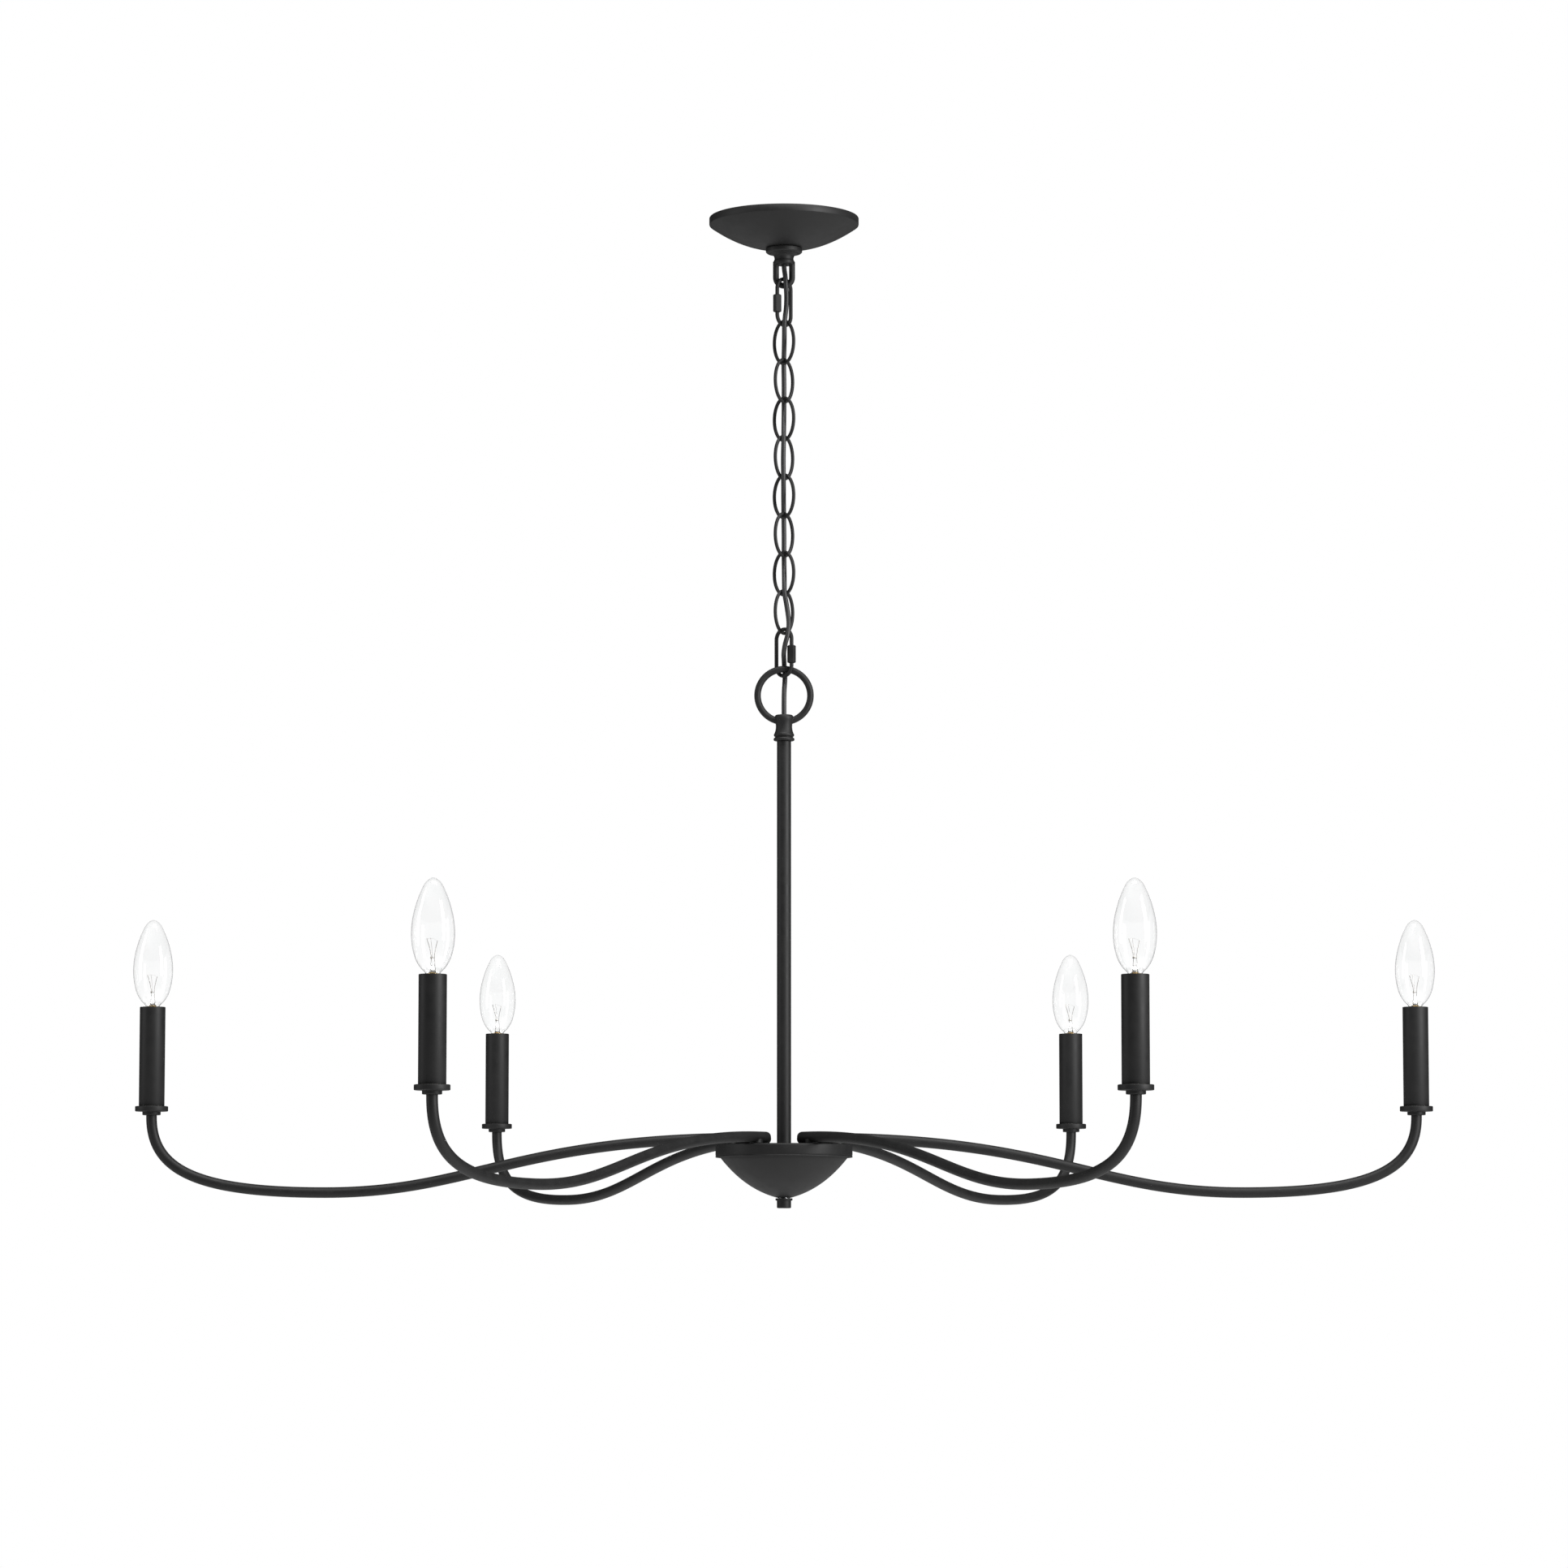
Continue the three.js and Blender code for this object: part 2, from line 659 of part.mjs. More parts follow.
// Candle bulb: small screw base, narrow neck, and a torpedo of glass with a pointed tip.
function candleBulb() {
  const outline = [
    [0, BULB_SEAT],
    [3, BULB_SEAT],
    [5.9, BULB_SEAT + 3],
    [5.9, SLEEVE_HEIGHT],
    [9.7, 90.2],
    [14, 98],
    [BULB_R, 113],
    [16.2, 126],
    [13.8, 138],
    [9, 151],
    [4.2, 158.6],
    [0, BULB_TIP],
  ];
  return turned(outline, 12);
}

function addArm(number) {
  const arm = new THREE.Group();
  arm.rotation.z = ((number - 1) * 2 * Math.PI) / ARMS;
  chandelier.add(arm);
  addPiece("arm_" + number, armTube(), blackMetal, arm);
  const candle = new THREE.Group();
  candle.position.set(CANDLE_RADIUS, 0, CUP_TOP_Z);
  arm.add(candle);
  addPiece("drip_cup_" + number, dripCup(), blackMetal, candle);
  addPiece("candle_sleeve_" + number, candleSleeve(), blackMetal, candle);
  addPiece("socket_" + number, lampSocket(), socketPlastic, candle);
  addPiece("bulb_" + number, candleBulb(), clearGlass, candle);
}

// ---- Assembly ----
function addCeilingFixing() {
  addPiece("mounting_strap", mountingStrap(), zincSteel);
  const boxScrew = strapScrew(BOX_SCREW_R, 2 * BOX_SCREW_R);
  const groundScrew = strapScrew(GROUND_SCREW_R, 2 * GROUND_SCREW_R);
  const ceilingPipe = tube(NIPPLE_R, NIPPLE_BORE_R, CEILING_PIPE_BOTTOM_Z, -GAP, 20);
  addPiece("box_screw_left", boxScrew, zincSteel).position.x = -BOX_SCREW_X;
  addPiece("box_screw_right", boxScrew, zincSteel).position.x = BOX_SCREW_X;
  addPiece("ground_screw", groundScrew, groundGreen).position.x = GROUND_SCREW_X;
  addPiece("ceiling_pipe", ceilingPipe, zincSteel);
  addPiece("ceiling_pipe_nut", pipeNut(-STRAP_THICKNESS - GAP, 4), zincSteel);
  addPiece("canopy", canopyShell(), blackMetal);
  addPiece("collar_ring", collarRing(), blackMetal);
  addPiece("collar_loop", collarLoop(), blackMetal);
}

function addCentre() {
  addPiece("ring_loop", ringLoop(), blackMetal);
  addPiece("centre_stem", centreStem(), blackMetal);
  addPiece("hub_plate", hubPlate(), blackMetal);
  addPiece("arm_nut_ring", armNutRing(), zincSteel);
  addPiece("centre_pipe", centrePipe(), zincSteel);
  addPiece("centre_pipe_nut", pipeNut(HUB_TOP_Z - HUB_PLATE - GAP, 4), zincSteel);
  addPiece("hub_bowl", bowlShell(), blackMetal);
  addPiece("finial", finialCap(), blackMetal);
}

addCeilingFixing();
addChain();
addPiece("supply_cord", supplyCord(), cordJacket);
addCentre();
for (let i = 1; i <= ARMS; i++) addArm(i);

export default chandelier;
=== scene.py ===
"""The looks of a six-arm candle chandelier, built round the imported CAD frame.

Shapes are worked out in millimetres in the CAD frame, with +Z up and z = 0 at the ceiling, and become
metres in piece(). The front of the chandelier faces -Y, and arm 1 lies along +X. A profile is a list of
[radius, height] points, turned about the vertical axis by lathe().
"""

import json
import math

import bmesh
import bpy
import numpy as np
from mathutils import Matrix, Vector

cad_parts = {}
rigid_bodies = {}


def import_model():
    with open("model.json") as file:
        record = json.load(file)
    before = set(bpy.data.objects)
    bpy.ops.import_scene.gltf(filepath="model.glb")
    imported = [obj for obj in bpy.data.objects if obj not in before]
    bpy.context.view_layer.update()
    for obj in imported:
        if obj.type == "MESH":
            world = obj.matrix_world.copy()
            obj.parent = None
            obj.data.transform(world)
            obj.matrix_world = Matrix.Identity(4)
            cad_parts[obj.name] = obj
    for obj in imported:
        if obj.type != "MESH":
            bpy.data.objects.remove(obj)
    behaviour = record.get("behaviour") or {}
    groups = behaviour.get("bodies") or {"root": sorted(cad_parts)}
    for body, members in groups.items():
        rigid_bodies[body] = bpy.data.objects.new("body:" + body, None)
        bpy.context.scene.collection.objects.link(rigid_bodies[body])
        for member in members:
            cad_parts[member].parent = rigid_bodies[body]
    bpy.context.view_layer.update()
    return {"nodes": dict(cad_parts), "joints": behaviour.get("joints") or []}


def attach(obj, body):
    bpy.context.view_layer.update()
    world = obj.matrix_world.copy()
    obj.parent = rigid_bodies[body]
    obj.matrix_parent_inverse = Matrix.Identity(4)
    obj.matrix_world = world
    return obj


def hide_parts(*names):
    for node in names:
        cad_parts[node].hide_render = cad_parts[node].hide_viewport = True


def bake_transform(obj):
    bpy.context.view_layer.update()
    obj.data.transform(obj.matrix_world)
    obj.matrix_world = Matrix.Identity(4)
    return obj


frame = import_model()

MM = 0.001
SHARP = math.radians(38)  # edges that turn more than this stay crisp
FULL_TURN = 2 * math.pi
GAP = 0.3  # left between pieces that lie against each other, and under the ceiling plane

# ---- Driving dimensions, the same as the CAD's ----
ARMS = 6
CANDLE_RADIUS = 544  # chandelier axis to candle axis
CUP_TOP_Z = -775  # where the candles stand
ARM_R = 4.6
ARM_INNER = (28, CUP_TOP_Z - 27.3)
ARM_LOW = (394, CUP_TOP_Z - 74.1)
ARM_END_R = 2.9  # rounding of an arm's closed inner end

SHEET = 1.2
STRAP_BOTTOM_Z = -2.3
BOX_SCREW_X = 44.45
GROUND_SCREW_X = 22
CANOPY_R = 65.3
CANOPY_RIM_BOTTOM_Z = -6.5
CANOPY_HOLE_R = 13
CANOPY_BOTTOM_Z = -26.5
COLLAR_R = 15.9
COLLAR_HOLE_R = 12.4
COLLAR_BOTTOM_Z = -31.2
LOOP_TOP_Z = -14
LOOP_BOTTOM_Z = -41.2
BORE_R = 5.05
CORD_BORE_R = 2.7
PIPE_R = 4.75
PIPE_BOTTOM_Z = -22
PIPE_PITCH = 0.95
PIPE_THREAD_DEPTH = 0.28
PIPE_NUT_R = 8.6
PIPE_NUT_HEIGHT = 4
BAIL_WIRE_R = 2.65
BAIL_HALF = 7
BAIL_BOTTOM_Z = -59.6

LINKS = 8
LINK_WIRE_R = 1.5
LINK_HALF_WIDTH = 11.3
LINK_HALF_LENGTH = 18.58
FIRST_LINK_Z = -109.68
LINK_PITCH = 33.8625
ODD_TURN = math.radians(-42)  # turn of the odd pieces of the chain from the XZ plane
QUICK_WIRE_R = 1.7
QUICK_HALF_WIDTH = 8.8
QUICK_HALF_LENGTH = 20.3
QUICK_TOP_Z = -74.3
QUICK_LOW_Z = -382.1
QUICK_NUT = {"length": 16.4, "corner": 4, "bore": 2.4, "drop": 2}

RING_R = 22.9
RING_WIRE_R = 2.9
RING_Z = -419.5
NECK_TOP_Z = -436.4
NECK_PLUG_Z = -475  # the neck's threaded end, inside the stem
STEM_TOP_Z = -459.4
STEM_R = 6.15
HUB_R = 58.9
HUB_TOP_Z = -808.1
HUB_UNDERSIDE_Z = HUB_TOP_Z - 1.5
HUB_BAND_BOTTOM_Z = HUB_TOP_Z - 11
STUD_CIRCLE_R = 46
BOWL_RIM_R = 54.4
BOWL_BOTTOM_Z = -853.7
FINIAL_BOTTOM_Z = -862.5

SLEEVE_R = 11
SLEEVE_TOP = 85.4  # above the cup's top, as are the heights of the socket and the bulb
SLEEVE_WALL = 0.9
SOCKET_R = 8.4
SOCKET_BORE_R = 6.4
LAMP_PITCH = 2.5
BULB_SEAT = 60
BULB_TIP = 160.4
BULB_BASE_R = 5.9
GLASS_BOTTOM = 84.6

CORD_R = 2.1
# The cord's route in metres. Its points are the CAD's, but for three beside the lower quick link that
# stand further out, where the link's nut travels past.
CORD_ROUTE = [
    (0, 0, -0.001),
    (0, 0, -0.02),
    (0, 0, -0.036),
    (0, -0.0001, -0.042),
    (0.0004, -0.0013, -0.0465),
    (0.0009, -0.0035, -0.0505),
    (0.0013, -0.0054, -0.0548),
    (0.0016, -0.0063, -0.06),
    (0.0022, -0.0066, -0.069),
    (0.002, -0.0066, -0.079),
    (0.001, -0.0064, -0.088),
    (0.0004, -0.0062, -0.0945),
    (0.0003, -0.0038, -0.103),
    (0.0002, 0, -0.111),
    (0, 0.0038, -0.119),
    (-0.0002, 0.0062, -0.128),
    (0, 0.0064, -0.145),
    (0, 0.0062, -0.162),
    (0, 0.0038, -0.17),
    (-0.0001, 0, -0.178),
    (-0.0002, -0.0038, -0.187),
    (-0.0003, -0.0064, -0.196),
    (-0.0006, -0.0068, -0.2125),
    (-0.0005, -0.0065, -0.229),
    (-0.0004, -0.0038, -0.238),
    (-0.0004, 0, -0.246),
    (-0.0003, 0.0038, -0.254),
    (-0.0002, 0.0062, -0.263),
    (0, 0.0064, -0.28),
    (0, 0.0062, -0.297),
    (0.0001, 0.0038, -0.305),
    (0.0002, 0, -0.313),
    (0.0003, -0.0038, -0.322),
    (0.0005, -0.0062, -0.3305),
    (0.0028, -0.007, -0.345),
    (0.0042, -0.0092, -0.358),
    (0.0031, -0.0112, -0.368),
    (0.001, -0.0108, -0.376),
    (-0.0002, -0.0054, -0.3835),
    (0, 0.0004, -0.3885),
    (0.0003, 0.005, -0.394),
    (0.0008, 0.0066, -0.4),
    (0.0007, 0.0046, -0.407),
    (0.0002, 0.0014, -0.415),
    (0, 0, -0.424),
    (0, 0, -0.44),
    (0, 0, -0.52),
    (0, 0, -0.6),
    (0, 0, -0.68),
    (0, 0, -0.76),
    (0, 0, -0.828),
]


# ---- Camera ----
CAMERA_PLACE = (0, -4.63, -0.94)  # metres
CAMERA_PITCH = math.radians(95.471)  # 90 degrees is level, and more looks up
LENS = 123.43
SENSOR_WIDTH = 36


def add_camera():
    data = bpy.data.cameras.new("camera")
    data.lens = LENS
    data.sensor_width = SENSOR_WIDTH
    camera = bpy.data.objects.new("camera", data)
    camera.location = CAMERA_PLACE
    camera.rotation_euler = (CAMERA_PITCH, 0, 0)
    bpy.context.scene.collection.objects.link(camera)
    bpy.context.scene.camera = camera


add_camera()


# ---- Shape helpers: a shape is a list of points in millimetres and a list of faces ----
LONGEST_CUT = 0.45  # the most of an edge that softened() takes for a corner at its end
ON_AXIS = 1e-6
BORE_CHAMFER = 0.3
CHAMFER_SLOPE = 0.62
CREST = (0.35, 0.65)  # where a thread's crest starts and ends, as shares of its pitch
CAST_VOXEL = 0.24
CAST_PASSES = 4


def around(count):
    """Angles that share out a full turn."""
    return np.arange(count) * FULL_TURN / count


def combined(*shapes):
    points, faces = [], []
    for shape_points, shape_faces in shapes:
        start = len(points)
        points += [tuple(p) for p in shape_points]
        faces += [tuple(start + i for i in face) for face in shape_faces]
    return points, faces


def shifted(shape, x=0, y=0, z=0):
    return [(px + x, py + y, pz + z) for px, py, pz in shape[0]], shape[1]


def spun(shape, angle):
    c, s = math.cos(angle), math.sin(angle)
    return [(c * x - s * y, s * x + c * y, z) for x, y, z in shape[0]], shape[1]


def bezier(*controls, count=12):
    """Points along a quadratic or cubic Bezier curve, both ends included."""
    t = np.linspace(0, 1, count + 1)[:, None]
    level = [np.array(c, float) + 0 * t for c in controls]
    while len(level) > 1:
        level = [a + (b - a) * t for a, b in zip(level, level[1:])]
    return [tuple(p) for p in level[0]]


def smooth_line(points, spacing):
    """A centripetal Catmull-Rom curve through the points, sampled evenly enough."""
    pts = [np.array(p, float) for p in points]
    pts = [2 * pts[0] - pts[1], *pts, 2 * pts[-1] - pts[-2]]
    line = []
    for p0, p1, p2, p3 in zip(pts, pts[1:], pts[2:], pts[3:]):
        t1 = math.sqrt(np.linalg.norm(p1 - p0))
        t2 = t1 + math.sqrt(np.linalg.norm(p2 - p1))
        t3 = t2 + math.sqrt(np.linalg.norm(p3 - p2))
        count = max(2, round(np.linalg.norm(p2 - p1) / spacing))
        for t in np.linspace(t1, t2, count, endpoint=False):
            a1 = p0 + (p1 - p0) * t / t1
            a2 = p1 + (p2 - p1) * (t - t1) / (t2 - t1)
            a3 = p2 + (p3 - p2) * (t - t2) / (t3 - t2)
            b1 = a1 + (a2 - a1) * t / t2
            b2 = a2 + (a3 - a2) * (t - t1) / (t3 - t1)
            line.append(b1 + (b2 - b1) * (t - t1) / (t2 - t1))
    line.append(pts[-2])
    return line


def softened(outline, radius, closed=True):
    """A profile with each corner cut back and rounded."""
    made = []
    last = len(outline) - 1
    for i, corner in enumerate(outline):
        if not closed and i in (0, last):
            made.append(tuple(corner))
            continue
        here = np.array(corner, float)
        before = np.array(outline[i - 1], float) - here
        after = np.array(outline[(i + 1) % len(outline)], float) - here
        reach_in = min(radius, LONGEST_CUT * np.linalg.norm(before))
        reach_out = min(radius, LONGEST_CUT * np.linalg.norm(after))
        start = here + before / np.linalg.norm(before) * reach_in
        end = here + after / np.linalg.norm(after) * reach_out
        made += bezier(start, here, end, count=3)
    return made


def lathe(outline, sides=64, closed=True):
    """A shape turned about Z from a profile.

    A profile point on the axis becomes one vertex, and closed joins the last point to the first.
    """
    points, faces, rings = [], [], []
    for r, z in outline:
        if r < ON_AXIS:
            rings.append([len(points)] * sides)
            points.append((0, 0, z))
            continue
        rings.append(list(range(len(points), len(points) + sides)))
        points += [(r * math.cos(a), r * math.sin(a), z) for a in around(sides)]
    pairs = list(zip(rings, rings[1:]))
    if closed:
        pairs.append((rings[-1], rings[0]))
    for low, high in pairs:
        if low[0] == low[1] and high[0] == high[1]:
            continue
        for i in range(sides):
            j = (i + 1) % sides
            face = [low[i], low[j], high[j], high[i]]
            faces.append(tuple(dict.fromkeys(face)))
    return points, faces


def swept(line, radius, sides=16, closed=False):
    """A round section along a line of points. radius is one number, or one for each point."""
    line = np.array([tuple(p) for p in line], float)
    count = len(line)
    radii = np.full(count, radius, float) if np.isscalar(radius) else np.array(radius, float)
    if closed:
        tangents = np.roll(line, -1, 0) - np.roll(line, 1, 0)
    else:
        tangents = np.gradient(line, axis=0)
    tangents /= np.linalg.norm(tangents, axis=1)[:, None]
    across = np.array([0.0, 1.0, 0.0])
    if abs(tangents[0] @ across) > 0.9:
        across = np.array([1.0, 0.0, 0.0])
    angles = around(sides)
    points, faces = [], []
    for centre, tangent, r in zip(line, tangents, radii):
        across = across - tangent * (across @ tangent)
        across /= np.linalg.norm(across)
        other = np.cross(tangent, across)
        ring = centre + r * (np.cos(angles)[:, None] * across + np.sin(angles)[:, None] * other)
        points += [tuple(p) for p in ring]
    for k in range(count if closed else count - 1):
        low, high = k * sides, ((k + 1) % count) * sides
        for i in range(sides):
            j = (i + 1) % sides
            faces.append((low + i, low + j, high + j, high + i))
    if not closed:
        faces.append(tuple(range(sides))[::-1])
        faces.append(tuple((count - 1) * sides + i for i in range(sides)))
    return points, faces


def hex_nut(corner_r, bore_r, low_z, high_z, chamfer=0.96, sides=72):
    """A six-sided nut whose flats end in the curved edges that a chamfer leaves.

    chamfer is the radius of the round end face over half the width across the flats.
    """
    sixth = math.pi / 3
    flat_r = corner_r * math.cos(sixth / 2)
    face_r = flat_r * chamfer
    points, faces = [], []
    for angle in around(sides):
        side_r = flat_r / math.cos((angle + sixth / 2) % sixth - sixth / 2)
        fall = (side_r - face_r) * CHAMFER_SLOPE
        ring = [
            (bore_r, low_z + BORE_CHAMFER),
            (bore_r + BORE_CHAMFER, low_z),
            (face_r, low_z),
            (side_r, low_z + fall),
            (side_r, high_z - fall),
            (face_r, high_z),
            (bore_r + BORE_CHAMFER, high_z),
            (bore_r, high_z - BORE_CHAMFER),
        ]
        points += [(r * math.cos(angle), r * math.sin(angle), z) for r, z in ring]
    step = len(ring)
    for i in range(sides):
        here, there = i * step, ((i + 1) % sides) * step
        for k in range(step):
            n = (k + 1) % step
            faces.append((here + k, there + k, there + n, here + n))
    return points, faces


def threads(radius, low_z, high_z, pitch, depth):
    """Profile points of a row of thread crests and roots, going up."""
    count = max(2, round((high_z - low_z) / pitch))
    step = (high_z - low_z) / count
    made = []
    for i in range(count):
        z = low_z + (high_z - low_z) * i / count
        made.append((radius - depth, z))
        made.append((radius, z + CREST[0] * step))
        made.append((radius, z + CREST[1] * step))
    made.append((radius - depth, high_z))
    return made


def piece(name, shape, material, body=None, replaces=()):
    """A Blender mesh of the shape, in metres, riding on a body and standing for CAD nodes."""
    mesh = bpy.data.meshes.new(name)
    points = [(x * MM, y * MM, z * MM) for x, y, z in shape[0]]
    mesh.from_pydata(points, [], shape[1])
    mesh.validate()
    mesh.materials.append(material)
    made = bpy.data.objects.new(name, mesh)
    bpy.context.scene.collection.objects.link(made)
    face_outwards(made)
    mesh.shade_smooth()
    mesh.set_sharp_from_angle(angle=SHARP)
    if body:
        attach(made, body)
    if replaces:
        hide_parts(*replaces)
    return made


def face_outwards(made):
    bm = bmesh.new()
    bm.from_mesh(made.data)
    bmesh.ops.recalc_face_normals(bm, faces=bm.faces)
    bm.to_mesh(made.data)
    bm.free()


def cast_together(made):
    """Joins the overlapping shapes of one casting into a single skin, with small fillets between them."""
    remesh = made.modifiers.new("remesh", "REMESH")
    remesh.mode = "VOXEL"
    remesh.voxel_size = CAST_VOXEL * MM
    relax = made.modifiers.new("relax", "SMOOTH")
    relax.factor = 0.5
    relax.iterations = CAST_PASSES
    depsgraph = bpy.context.evaluated_depsgraph_get()
    skin = bpy.data.meshes.new_from_object(made.evaluated_get(depsgraph))
    made.modifiers.clear()
    skin.materials.clear()
    skin.materials.append(made.data.materials[0])
    made.data = skin
    skin.shade_smooth()


def finish_node(name, material):
    """Puts a material on a CAD node that is shown as it is."""
    materials = frame["nodes"][name].data.materials
    materials.clear()
    materials.append(material)


# ---- Materials ----
NOISE_RANGE = (0.3, 0.7)  # the values between which the noise mostly stays


def new_material(name):
    material = bpy.data.materials.new(name)
    material.use_nodes = True
    return material, material.node_tree.nodes, material.node_tree.links


def noise(nodes, links, scale, detail=3, roughness=0.5):
    """A noise texture in object coordinates; scale is waves per metre."""
    coordinates = nodes.new("ShaderNodeTexCoord")
    texture = nodes.new("ShaderNodeTexNoise")
    texture.inputs["Scale"].default_value = scale
    texture.inputs["Detail"].default_value = detail
    texture.inputs["Roughness"].default_value = roughness
    links.new(coordinates.outputs["Object"], texture.inputs["Vector"])
    return texture.outputs["Fac"]


def ramp(nodes, links, source, low, high):
    """Turns noise into a run between two colours or two greys."""
    made = nodes.new("ShaderNodeValToRGB")
    for element, position, colour in zip(made.color_ramp.elements, NOISE_RANGE, (low, high)):
        element.position = position
        element.color = (colour, colour, colour, 1) if np.isscalar(colour) else (*colour, 1)
    links.new(source, made.inputs["Fac"])
    return made.outputs["Color"]


def bump(nodes, links, source, strength, distance):
    made = nodes.new("ShaderNodeBump")
    made.inputs["Strength"].default_value = strength
    made.inputs["Distance"].default_value = distance * MM
    links.new(source, made.inputs["Height"])
    return made.outputs["Normal"]


def surface(name, colours, roughness, grain, relief, metallic=0.0, specular=0.5):
    """A principled material whose colour, roughness and bump all vary.

    colours are the darker and the lighter tone, roughness the lowest and the highest, grain the noise waves
    per metre of the fine and the broad variation, and relief the bump's strength and depth in millimetres.
    """
    material, nodes, links = new_material(name)
    shader = nodes["Principled BSDF"]
    fine = noise(nodes, links, grain[0], detail=2)
    broad = noise(nodes, links, grain[1], detail=5, roughness=0.6)
    links.new(ramp(nodes, links, broad, *colours), shader.inputs["Base Color"])
    links.new(ramp(nodes, links, broad, *roughness), shader.inputs["Roughness"])
    links.new(bump(nodes, links, fine, *relief), shader.inputs["Normal"])
    shader.inputs["Metallic"].default_value = metallic
    shader.inputs["Specular IOR Level"].default_value = specular
    return material


def clear_glass():
    """Clear lamp glass with faint drawn waviness."""
    material, nodes, links = new_material("clear_glass")
    shader = nodes["Principled BSDF"]
    waves = noise(nodes, links, 60, detail=1)
    links.new(ramp(nodes, links, waves, (0.985, 0.99, 0.99), (1, 1, 1)), shader.inputs["Base Color"])
    links.new(ramp(nodes, links, waves, 0.0, 0.02), shader.inputs["Roughness"])
    links.new(bump(nodes, links, waves, strength=0.05, distance=0.2), shader.inputs["Normal"])
    shader.inputs["Transmission Weight"].default_value = 1
    shader.inputs["IOR"].default_value = 1.45
    return material


COAT = surface(
    "black_powder_coat",
    colours=((0.0060, 0.0060, 0.0062), (0.0088, 0.0087, 0.0087)),
    roughness=(0.50, 0.60),
    grain=(1700, 90),
    relief=(0.22, 0.05),
    specular=0.30,
)
CAST = surface(
    "black_cast_metal",
    colours=((0.0056, 0.0056, 0.0058), (0.0088, 0.0087, 0.0087)),
    roughness=(0.50, 0.64),
    grain=(900, 160),
    relief=(0.38, 0.10),
    specular=0.30,
)
JACKET = surface(
    "black_cord_jacket",
    colours=((0.013, 0.013, 0.0135), (0.019, 0.019, 0.0195)),
    roughness=(0.42, 0.52),
    grain=(1300, 70),
    relief=(0.12, 0.04),
    specular=0.42,
)
ZINC = surface(
    "zinc_plated_steel",
    colours=((0.42, 0.43, 0.45), (0.58, 0.58, 0.57)),
    roughness=(0.28, 0.45),
    grain=(1500, 220),
    relief=(0.15, 0.04),
    metallic=1.0,
)
GREEN = surface(
    "green_ground_screw",
    colours=((0.02, 0.14, 0.045), (0.04, 0.20, 0.07)),
    roughness=(0.35, 0.5),
    grain=(1500, 250),
    relief=(0.15, 0.04),
    metallic=0.7,
)
BRASS = surface(
    "brass",
    colours=((0.52, 0.36, 0.15), (0.66, 0.48, 0.22)),
    roughness=(0.28, 0.42),
    grain=(1500, 260),
    relief=(0.12, 0.03),
    metallic=1.0,
)
PLASTIC = surface(
    "socket_plastic",
    colours=((0.60, 0.56, 0.47), (0.70, 0.66, 0.57)),
    roughness=(0.5, 0.62),
    grain=(1200, 120),
    relief=(0.15, 0.06),
)
NICKEL = surface(
    "nickel_wire",
    colours=((0.16, 0.15, 0.14), (0.30, 0.28, 0.25)),
    roughness=(0.3, 0.45),
    grain=(3000, 500),
    relief=(0.1, 0.02),
    metallic=1.0,
)
INSULATOR = surface(
    "black_insulator",
    colours=((0.012, 0.011, 0.011), (0.02, 0.019, 0.018)),
    roughness=(0.2, 0.35),
    grain=(1500, 200),
    relief=(0.1, 0.03),
)
GLASS = clear_glass()


# ---- Cord: cut at the middle of each piece of the chain ----
CORD_SIDES = 20
CORD_SPACING = 1.6


def chain_bodies():
    """The bodies the cord runs along, from the ceiling down, and the heights of the joints between them."""
    bodies = ["fixing", "quick_link_top"]
    bodies += [f"chain_link_{i}" for i in range(1, LINKS + 1)]
    bodies += ["quick_link_bottom", "pendant"]
    heights = {}
    for joint in frame["joints"]:
        if joint["type"] == "hinge":
            heights[(joint["parent"], joint["child"])] = joint["pos_m"][2] / MM
    return bodies, [heights[pair] for pair in zip(bodies, bodies[1:])]


def add_cord():
    line = np.array(smooth_line([Vector(p) / MM for p in CORD_ROUTE], CORD_SPACING))
    points, faces = swept(line, CORD_R, CORD_SIDES)
    bodies, pivots = chain_bodies()
    middles = [QUICK_TOP_Z]
    middles += [FIRST_LINK_Z - i * LINK_PITCH for i in range(LINKS)]
    middles += [QUICK_LOW_Z]
    cuts = [0] + [int(np.argmin(abs(line[:, 2] - z))) for z in middles] + [len(line) - 1]
    for k, pivot in enumerate(pivots):
        first, last = CORD_SIDES * cuts[k], CORD_SIDES * cuts[k + 1]
        walls = [tuple(i - first for i in face) for face in faces[first:last]]
        caps = [tuple(range(CORD_SIDES))[::-1], tuple(range(last - first, last - first + CORD_SIDES))]
        length = (points[first : last + CORD_SIDES], walls + caps)
        part = piece(f"cord_{k + 1}", length, JACKET)
        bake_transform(part)
        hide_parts("supply_cord")


add_cord()


# ---- Ceiling fixing ----
def add_ceiling_pipe():
    top_z = -GAP
    end_chamfer = 0.4
    end_r = PIPE_R - end_chamfer
    profile = [(CORD_BORE_R, PIPE_BOTTOM_Z), (end_r, PIPE_BOTTOM_Z)]
    thread_low, thread_high = PIPE_BOTTOM_Z + end_chamfer, top_z - end_chamfer
    profile += threads(PIPE_R, thread_low, thread_high, PIPE_PITCH, PIPE_THREAD_DEPTH)
    profile += [(end_r, top_z), (CORD_BORE_R, top_z)]
    pipe = lathe(profile, 48)
    piece("ceiling_pipe_threaded", pipe, ZINC, "fixing", ["ceiling_pipe"])


